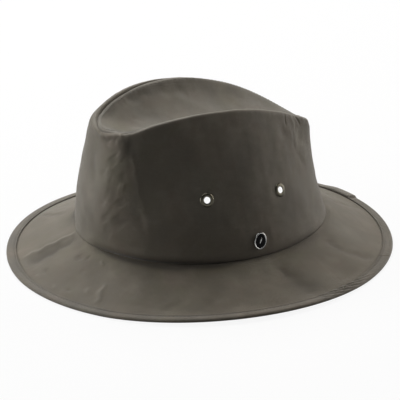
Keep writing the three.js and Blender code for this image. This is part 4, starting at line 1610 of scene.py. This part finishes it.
def plain_weave(finish, grain, pitch):
    """Height from 0 to 1 of a plain weave: in cells of one thread each, in turn the thread along and the
    thread across lies on top, rounded by a sine of the place across it."""
    across = finish.node("ShaderNodeSeparateXYZ", {}, {0: grain}, 0)
    along = finish.node("ShaderNodeSeparateXYZ", {}, {0: grain}, 1)
    warp = (across * (math.pi / pitch)).sine()
    weft = (along * (math.pi / pitch)).sine()
    over = (warp * weft * 4.0 + 0.5).clamped()
    warp_round, weft_round = abs(warp), abs(weft)
    upper = over * warp_round * (weft_round * 0.4 + 0.6)
    return upper + (1.0 - over) * weft_round * (warp_round * 0.4 + 0.6)


def waxed_cotton(name, cloth, colour):
    """Waxed cotton: mottled wax over a plain weave, paler with wear and painted highlight, darker with painted
    shade in its creases and with dirt.
    """
    finish = Finish(name)
    place = finish.place()
    grain = finish.node("ShaderNodeUVMap", {"uv_map": "grain"})
    wear_and_highlight, shade_and_dirt = finish.mark("wear_and_highlight"), finish.mark("shade_and_dirt")
    cloud = finish.noise(place, size=0.050, detail=3.0, roughness=0.55, distortion=0.6)
    warm = finish.noise(place, size=0.017, distortion=0.4)
    green = finish.noise(place, size=0.028, distortion=0.5)
    patch = finish.noise(place, size=0.016, distortion=0.3)
    fleck = finish.noise(place, size=0.0022, roughness=0.6)
    slub = finish.noise(finish.stretched(grain, (90.0, 1100.0, 1.0)), size=1.0, roughness=0.6)
    weave = plain_weave(finish, grain, cloth.weave_pitch)
    base = rgba(colour)
    # Layers of colour: how much of each lies on the ones before, and its colour
    layers = (
        (((cloud - 0.42) * 3.2).clamped() * 0.6, cloth.brown_colour),
        (((warm - 0.5) * 3.0).clamped() * 0.7, cloth.russet_colour),
        (((green - 0.5) * 3.0).clamped() * 0.7, cloth.olive_colour),
        # Paler with wear and painted highlight, darker with painted shade in creases, painted shadows and dirt
        (((patch - 0.5) * 1.6 + wear_and_highlight * 0.9).clamped() * cloth.wear, cloth.wear_and_highlight_colour),
        ((shade_and_dirt * 0.75).clamped(), cloth.shade_and_dirt_colour),
    )
    for share, layer_colour in layers:
        base = finish.mix(share, base, rgba(layer_colour))
    # Noise is about 0.5 on average, so each pattern lightens and darkens by the same
    tone = 0.90 + 0.32 * (cloud - 0.5) + 0.30 * (patch - 0.5) + 0.20 * (fleck - 0.5)
    tone = tone + 0.14 * (slub - 0.5) + 0.14 * weave
    roughness = cloth.roughness + 0.16 * (patch - 0.5) + 0.10 * (fleck - 0.5) - 0.08 * wear_and_highlight + 0.12 * shade_and_dirt
    height = weave * cloth.weave_depth + slub * 0.00005 + fleck * 0.00008 + patch * 0.00022
    return finish.surface({
        "Base Color": finish.scaled(base, tone),
        "Roughness": roughness.clamped(),
        "Normal": finish.bump(height),
        "Sheen Weight": cloth.sheen,
        "Sheen Roughness": 0.4,
        "Sheen Tint": (1.0, 1.0, 1.0, 1.0),
        "IOR": 1.47,
        "Specular IOR Level": 0.35,
    })


def sewing_thread(name, cloth):
    """Twisted waxed thread: slanting plies across its length, with small colour changes from loop to
    loop."""
    finish = Finish(name)
    place = finish.place()
    x, y, z = (finish.node("ShaderNodeSeparateXYZ", {}, {0: place}, k) for k in range(3))
    ply = ((x + y + z * 1.7) * (2 * math.pi / PLY_LENGTH)).sine()
    tint = finish.noise(place, size=0.004)
    base = finish.mix(tint, rgba(cloth.thread_colour), rgba(cloth.thread_shade))
    return finish.surface({
        "Base Color": finish.scaled(base, 0.9 + 0.12 * ply),
        "Roughness": 0.55 + 0.15 * (tint - 0.5),
        "Normal": finish.bump(ply * 0.00003),
        "Sheen Weight": 0.15,
    })


def worn_and_highlit_metal(name, colour, wear_and_highlight_colour, roughness, mark=None):
    """Plated metal: darker patina in the hollows, brighter where it is rubbed and where a mark paints a
    highlight, with fine scratches.
    """
    finish = Finish(name)
    place = finish.place()
    tarnish = finish.noise(place, size=0.0016, detail=3.0, roughness=0.6, distortion=0.5)
    scratch = finish.noise(finish.stretched(place, (900.0, 5200.0, 2300.0)), size=1.0, roughness=0.7)
    wear_and_highlight = (tarnish - 0.5) * 0.8 if mark is None else finish.mark(mark) * (0.6 + 0.5 * tarnish)
    base = finish.mix(wear_and_highlight.clamped(), rgba(colour), rgba(wear_and_highlight_colour))
    return finish.surface({
        "Base Color": finish.scaled(base, 0.86 + 0.28 * scratch),
        "Metallic": 1.0,
        "Roughness": (roughness + 0.22 * (tarnish - 0.5) + 0.12 * (scratch - 0.5)).clamped(),
        "Normal": finish.bump(scratch * 0.000012 + tarnish * 0.00002),
    })


def glossy_enamel(name, colour):
    """Fired enamel: nearly even colour under a clear skin that waves a little."""
    finish = Finish(name)
    place = finish.place()
    wave = finish.noise(place, size=0.0022, detail=1.0)
    speck = finish.noise(place, size=0.0004)
    return finish.surface({
        "Base Color": finish.scaled(rgba(colour), 0.85 + 0.3 * speck),
        "Roughness": 0.45 + 0.1 * (speck - 0.5),
        "Normal": finish.bump(wave * 0.00002),
        "Specular IOR Level": 0.05,
        "Coat Weight": 0.01,
        "Coat Roughness": 0.2,
    })


def pale_floor(name, stage):
    """Matt white studio floor that glows a little, so that only soft shadows are left on it."""
    finish = Finish(name)
    tone = 0.985 + 0.03 * (finish.noise(finish.place(), size=0.02) - 0.5)
    matt = finish.node("ShaderNodeBsdfDiffuse", {}, {"Color": finish.scaled(rgba(stage.floor_colour), tone)})
    glow = finish.node("ShaderNodeEmission", {}, {"Color": rgba(stage.floor_colour), "Strength": 1.0})
    both = finish.node("ShaderNodeMixShader", {}, {0: stage.floor_glow, 1: matt, 2: glow})
    finish.node("ShaderNodeOutputMaterial", {}, {"Surface": both})
    return finish.material


# Settings


def colour_setting(name, description, default):
    """A colour."""
    return bpy.props.FloatVectorProperty(
        name=name, description=description, subtype="COLOR", size=3, min=0, max=1, default=default,
    )


def share_setting(name, description, default):
    """A share from 0 to 1."""
    return bpy.props.FloatProperty(
        name=name, description=description, subtype="FACTOR", min=0, max=1, default=default,
    )


def length_setting(name, description, default, least=0.0, most=10.0):
    """A length in metres."""
    return bpy.props.FloatProperty(
        name=name, description=description, unit="LENGTH", min=least, max=most, default=default,
    )


def power_setting(name, description, default):
    """A lamp's power in watts."""
    return bpy.props.FloatProperty(name=name, description=description, unit="POWER", min=0, default=default)


def angle_setting(name, description, default):
    """An angle, with its default in degrees."""
    return bpy.props.FloatProperty(
        name=name, description=description, subtype="ANGLE", default=math.radians(default),
    )


class HatCloth(bpy.types.PropertyGroup):
    """Colours and weave of the waxed cotton."""

    colour: colour_setting("Cloth", "Colour of the waxed cotton", (0.118, 0.101, 0.072))
    brown_colour: colour_setting("Brown patches", "Colour where the wax lies thicker", (0.098, 0.078, 0.052))
    russet_colour: colour_setting("Russet patches", "Warmer colour of soft patches", (0.125, 0.096, 0.070))
    olive_colour: colour_setting("Olive patches", "Greener colour of soft patches", (0.110, 0.100, 0.061))
    # The tip's paler colour is painted light on the top of the crown
    lit_tip_colour: colour_setting("Tip", "Colour of the crown's tip, paler from handling", (0.146, 0.133, 0.107))
    # Colour of wear and of the painted highlight on raised cloth
    wear_and_highlight_colour: colour_setting("Rubbed wax", "Colour of edges where the wax is rubbed", (0.21, 0.19, 0.155))
    # Colour of painted shade in seams and creases, also used for dirt
    shade_and_dirt_colour: colour_setting("Creases", "Colour deep in seams and creases", (0.036, 0.029, 0.021))
    binding_colour: colour_setting("Binding", "Colour of the strip round the brim", (0.103, 0.090, 0.069))
    thread_colour: colour_setting("Thread", "Colour of the sewing thread", (0.17, 0.155, 0.125))
    thread_shade: colour_setting("Darker thread", "Thread where it took more wax", (0.13, 0.115, 0.085))
    # Strength of the paler layer: wear and the painted highlight on raised cloth
    wear: share_setting("Wear", "Strength of the pale rubbed wax", 0.45)
    roughness: share_setting("Roughness", "Roughness of the wax", 0.6)
    sheen: share_setting("Sheen", "Soft light along the cloth's outline", 0.28)
    weave_pitch: length_setting(
        "Thread spacing", "Distance between neighbouring threads of the weave", 0.0006, 0.0002, 0.003,
    )
    weave_depth: length_setting("Weave depth", "Height of the threads", 0.00008, 0.0, 0.001)


class HatSewing(bpy.types.PropertyGroup):
    """Seams and stitches."""

    stitch_pitch: length_setting("Stitch spacing", "From one stitch to the next", 0.003, 0.001, 0.01)
    stitch_length: length_setting("Stitch length", "Visible length of one stitch", 0.0023, 0.0005, 0.01)
    thread_radius: length_setting("Thread radius", "Half the thread's thickness", 0.00024, 0.00005, 0.001)
    seam_depth: length_setting("Seam depth", "Depth of the groove round the crown's tip", 0.0008, 0.0, 0.002)
    pucker_depth: length_setting("Pucker depth", "Height of the ripples at the seams", 0.00008, 0.0, 0.002)


class HatMetal(bpy.types.PropertyGroup):
    """Colours of the eyelets and of the badge."""

    eyelet_colour: colour_setting("Eyelets", "Dark brass of the eyelets", (0.034, 0.030, 0.021))
    # Colour of rubbed brass and of the painted highlight on the eyelets
    eyelet_wear_and_highlight_colour: colour_setting("Rubbed eyelets", "Brass where it is rubbed", (0.25, 0.235, 0.185))
    silver_colour: colour_setting("Badge rim", "Silver of the badge", (0.40, 0.40, 0.39))
    silver_worn_colour: colour_setting("Rubbed badge rim", "Silver where it is rubbed", (0.9, 0.9, 0.88))
    enamel_colour: colour_setting("Badge enamel", "Dark fill of the badge", (0.006, 0.0065, 0.0075))


class HatStage(bpy.types.PropertyGroup):
    """Floor, lights and camera."""

    floor_colour: colour_setting("Floor", "Colour of the studio floor", (0.97, 0.97, 0.97))
    floor_glow: share_setting("Floor glow", "How much of the floor's brightness is its own", 0.93)
    sky_strength: bpy.props.FloatProperty(
        name="Room light", description="Strength of the even light from above", min=0, max=10, default=0.155,
    )
    overhead_power: power_setting("Overhead light", "Power of the light above the hat", 48.0)
    left_power: power_setting("Left light", "Power of the light at the camera's left", 22.5)
    right_power: power_setting("Right light", "Power of the light at the camera's right", 15.5)
    right_colour: colour_setting("Right light's colour", "Warm colour of the right light", (1.0, 0.93, 0.84))
    inner_power: power_setting("Light inside the crown", "Lamps that show through the eyelets", 0.25)
    camera_azimuth: angle_setting("Camera azimuth", "Direction of the camera round the hat", 55.0)
    camera_elevation: angle_setting("Camera elevation", "Height of the camera as an angle", 23.7)
    camera_roll: angle_setting("Camera roll", "Turn of the camera about its line of sight", 0.55)
    camera_distance: length_setting("Camera distance", "From the middle of the hat's floor", 1.8, 0.1)
    lens: bpy.props.FloatProperty(
        name="Lens", description="Focal length in millimetres on a 36 mm sensor", min=10, default=204.96,
    )


# Floor, lights and camera


def soft_light(name, location, size, power, colour=(1.0, 1.0, 1.0)):
    """A rectangular soft light that faces the middle of the hat."""
    light = bpy.data.lights.new(name, "AREA")
    light.shape = "RECTANGLE"
    light.size, light.size_y = size
    light.energy = power
    light.color = colour
    lamp = bpy.data.objects.new(name, light)
    bpy.context.scene.collection.objects.link(lamp)
    lamp.location = location
    lamp.rotation_euler = (Vector(HAT_MIDDLE) - location).to_track_quat("-Z", "Y").to_euler()


def inner_lamp(name, place, power):
    """A small round lamp inside the crown."""
    light = bpy.data.lights.new(name, "POINT")
    light.energy = power
    light.shadow_soft_size = INNER_LAMP_RADIUS
    lamp = bpy.data.objects.new(name, light)
    bpy.context.scene.collection.objects.link(lamp)
    lamp.location = place


def set_floor(stage):
    """A wide round floor that gently curves up far behind the hat: height grows with the squared
    distance."""
    radius = np.concatenate([[0.0], np.linspace(FLOOR_NEAR, FLOOR_EDGE, FLOOR_RINGS)])
    ring = oval(1.0, 1.0, column_angles(FLOOR_SIDES))[:, None] * radius[None, :, None]
    ring[..., 2] = np.maximum(0.0, radius - FLOOR_FLAT) ** 2 / FLOOR_CURVE
    number = np.arange(FLOOR_SIDES * len(radius)).reshape(FLOOR_SIDES, -1)
    number[:, 0] = 0
    quads = number.ravel()[grid_faces(FLOOR_SIDES, len(radius), False)]
    faces = [list(dict.fromkeys(face)) for face in quads[:, ::-1].tolist()]
    floor = make_mesh("floor", ring.reshape(-1, 3), faces, pale_floor("studio_floor", stage))
    floor.visible_diffuse = False


def set_lights(stage):
    """Soft light from above and from both sides, little from the camera's side, and lamps inside the
    crown that show through the eyelets."""
    side = Vector((math.cos(stage.camera_azimuth), math.sin(stage.camera_azimuth), 0.0))
    back = Vector((math.sin(stage.camera_azimuth), -math.cos(stage.camera_azimuth), 0.0))

    def located(place):
        return place[0] * side + place[1] * back + Vector((0, 0, place[2]))

    soft_light("overhead", located(OVERHEAD_PLACE), OVERHEAD_SIZE, stage.overhead_power)
    soft_light("left_side", located(LEFT_PLACE), SIDE_LIGHT_SIZE, stage.left_power)
    soft_light("right_side", located(RIGHT_PLACE), SIDE_LIGHT_SIZE, stage.right_power, stage.right_colour)
    inner_lamp("front_inner_lamp", FRONT_LAMP_PLACE, stage.inner_power)
    inner_lamp("back_inner_lamp", BACK_LAMP_PLACE, stage.inner_power)


def set_room(stage):
    """Even light from above the horizon only, and a bright backdrop where the camera looks past the
    floor."""
    world = bpy.data.worlds.new("studio")
    world.use_nodes = True
    nodes, links = world.node_tree.nodes, world.node_tree.links
    nodes.clear()
    ray = nodes.new("ShaderNodeLightPath")
    where = nodes.new("ShaderNodeTexCoord")
    height = nodes.new("ShaderNodeSeparateXYZ")
    links.new(where.outputs["Generated"], height.inputs[0])
    above = nodes.new("ShaderNodeMapRange")
    low, high = HORIZON_BAND
    values = {"From Min": low, "From Max": high, "To Min": BELOW_HORIZON, "To Max": stage.sky_strength}
    for name, value in values.items():
        above.inputs[name].default_value = value
    links.new(height.outputs["Z"], above.inputs["Value"])
    strength = nodes.new("ShaderNodeMix")
    links.new(ray.outputs["Is Camera Ray"], strength.inputs["Factor"])
    links.new(above.outputs["Result"], strength.inputs["A"])
    strength.inputs["B"].default_value = 1.0
    glow = nodes.new("ShaderNodeBackground")
    links.new(strength.outputs["Result"], glow.inputs["Strength"])
    result = nodes.new("ShaderNodeOutputWorld")
    links.new(glow.outputs["Background"], result.inputs["Surface"])
    bpy.context.scene.world = world
    bpy.context.scene.view_settings.view_transform = "Standard"


def set_camera(scene, stage):
    """Camera at the photograph's angle, aimed at the middle of the hat's floor and shifted to its frame."""
    azimuth, elevation = stage.camera_azimuth, stage.camera_elevation
    level = math.cos(elevation)
    back = Vector((math.sin(azimuth) * level, -math.cos(azimuth) * level, math.sin(elevation)))
    data = bpy.data.cameras.new("camera")
    data.sensor_width = SENSOR_WIDTH
    data.lens = stage.lens
    data.shift_x, data.shift_y = CAMERA_SHIFT
    data.clip_start, data.clip_end = CAMERA_REACH
    camera = bpy.data.objects.new("camera", data)
    scene.collection.objects.link(camera)
    turn = (-back).to_track_quat("-Z", "Y").to_matrix() @ Matrix.Rotation(stage.camera_roll, 3, "Z")
    camera.location = back * stage.camera_distance
    camera.rotation_euler = turn.to_euler()
    scene.camera = camera


# Building steps


class HatStep:
    """What every building step shares."""

    bl_options = {"REGISTER", "UNDO"}


class HatSetStage(HatStep, bpy.types.Operator):
    """Lay the floor and set the lights and the camera"""

    bl_idname = "hat.stage"
    bl_label = "Floor, Lights and Camera"

    def execute(self, context):
        stage = context.scene.hat_stage
        set_floor(stage)
        set_lights(stage)
        set_room(stage)
        set_camera(context.scene, stage)
        return {"FINISHED"}


class HatBuildWall(HatStep, bpy.types.Operator):
    """Sew the crown's wall with its pinches, gathers and drilled holes"""

    bl_idname = "hat.crown_wall"
    bl_label = "Crown Wall"

    def execute(self, context):
        cloth = context.scene.hat_cloth
        material = waxed_cotton("crown_wall_cotton", cloth, cloth.colour)
        install(wall_piece(context.scene.hat_sewing, material), "waxed_cotton", "crown_wall")
        return {"FINISHED"}


class HatBuildTip(HatStep, bpy.types.Operator):
    """Sew the crown's tip with its long dent and stitched seam"""

    bl_idname = "hat.crown_tip"
    bl_label = "Crown Tip"

    def execute(self, context):
        cloth, sewing = context.scene.hat_cloth, context.scene.hat_sewing
        material = waxed_cotton("crown_tip_cotton", cloth, cloth.lit_tip_colour)
        install(tip_piece(sewing, material), "waxed_cotton", "crown_tip")
        install(tip_stitches(sewing, sewing_thread("tip_thread", cloth)), "waxed_cotton")
        return {"FINISHED"}


class HatBuildBrim(HatStep, bpy.types.Operator):
    """Sew the brim with its collar, folds and creases"""

    bl_idname = "hat.brim"
    bl_label = "Brim"

    def execute(self, context):
        cloth = context.scene.hat_cloth
        material = waxed_cotton("brim_cotton", cloth, cloth.colour)
        install(brim_piece(context.scene.hat_sewing, material), "waxed_cotton", "brim")
        return {"FINISHED"}


class HatBuildBinding(HatStep, bpy.types.Operator):
    """Fold the binding round the brim's edge and stitch it"""

    bl_idname = "hat.brim_binding"
    bl_label = "Brim Binding"

    def execute(self, context):
        cloth, sewing = context.scene.hat_cloth, context.scene.hat_sewing
        material = waxed_cotton("binding_cotton", cloth, cloth.binding_colour)
        install(binding_piece(sewing, material), "binding_cloth", "brim_binding")
        install(brim_stitches(sewing, sewing_thread("binding_thread", cloth)), "binding_cloth")
        return {"FINISHED"}


class HatSetEyelets(HatStep, bpy.types.Operator):
    """Clench the four eyelets through the wall"""

    bl_idname = "hat.eyelets"
    bl_label = "Eyelets"

    def execute(self, context):
        metal = context.scene.hat_metal
        colours = (metal.eyelet_colour, metal.eyelet_wear_and_highlight_colour)
        brass = worn_and_highlit_metal("eyelet_brass", *colours, BRASS_ROUGHNESS, "wear_and_highlight")
        for node, place in EYELETS.items():
            install(eyelet_piece(f"{node}_ring", place, brass), "eyelet_metal", node)
        return {"FINISHED"}


class HatSetBadge(HatStep, bpy.types.Operator):
    """Rivet the plain oval badge to the wearer's left"""

    bl_idname = "hat.badge"
    bl_label = "Badge"

    def execute(self, context):
        metal = context.scene.hat_metal
        matrix = wall_frame(BADGE) @ Matrix.Rotation(math.radians(BADGE_TURN), 4, "Z")
        silver = worn_and_highlit_metal("badge_silver", metal.silver_colour, metal.silver_worn_colour, SILVER_ROUGHNESS)
        install(badge_frame_piece(matrix, silver), "badge_metal", "badge_frame")
        enamel = glossy_enamel("badge_enamel_fill", metal.enamel_colour)
        install(badge_enamel_piece(matrix, enamel), "badge_enamel", "badge_enamel")
        return {"FINISHED"}


# Panel and registration


class HatPanel(bpy.types.Panel):
    """Steps and settings of the hat"""

    bl_idname = "VIEW3D_PT_waxed_hat"
    bl_label = "Waxed Cotton Hat"
    bl_space_type = "VIEW_3D"
    bl_region_type = "UI"
    bl_category = "Hat"

    def draw(self, context):
        for step in STEPS:
            self.layout.operator(step.bl_idname)
        for group in GROUPS:
            settings = getattr(context.scene, group)
            column = self.layout.box().column()
            for name in GROUPS[group].__annotations__:
                column.prop(settings, name)


GROUPS = {"hat_cloth": HatCloth, "hat_sewing": HatSewing, "hat_metal": HatMetal, "hat_stage": HatStage}
STEPS = (
    HatSetStage, HatBuildWall, HatBuildTip, HatBuildBrim, HatBuildBinding, HatSetEyelets, HatSetBadge,
)
CLASSES = (*GROUPS.values(), *STEPS, HatPanel)


def register():
    for cls in CLASSES:
        bpy.utils.register_class(cls)
    for name, group in GROUPS.items():
        setattr(bpy.types.Scene, name, bpy.props.PointerProperty(type=group))


def unregister():
    for name in GROUPS:
        delattr(bpy.types.Scene, name)
    for cls in reversed(CLASSES):
        bpy.utils.unregister_class(cls)


def main():
    """Builds the whole hat."""
    register()
    for step in STEPS:
        group, name = step.bl_idname.split(".")
        getattr(getattr(bpy.ops, group), name)()


if __name__ == "__main__":
    main()
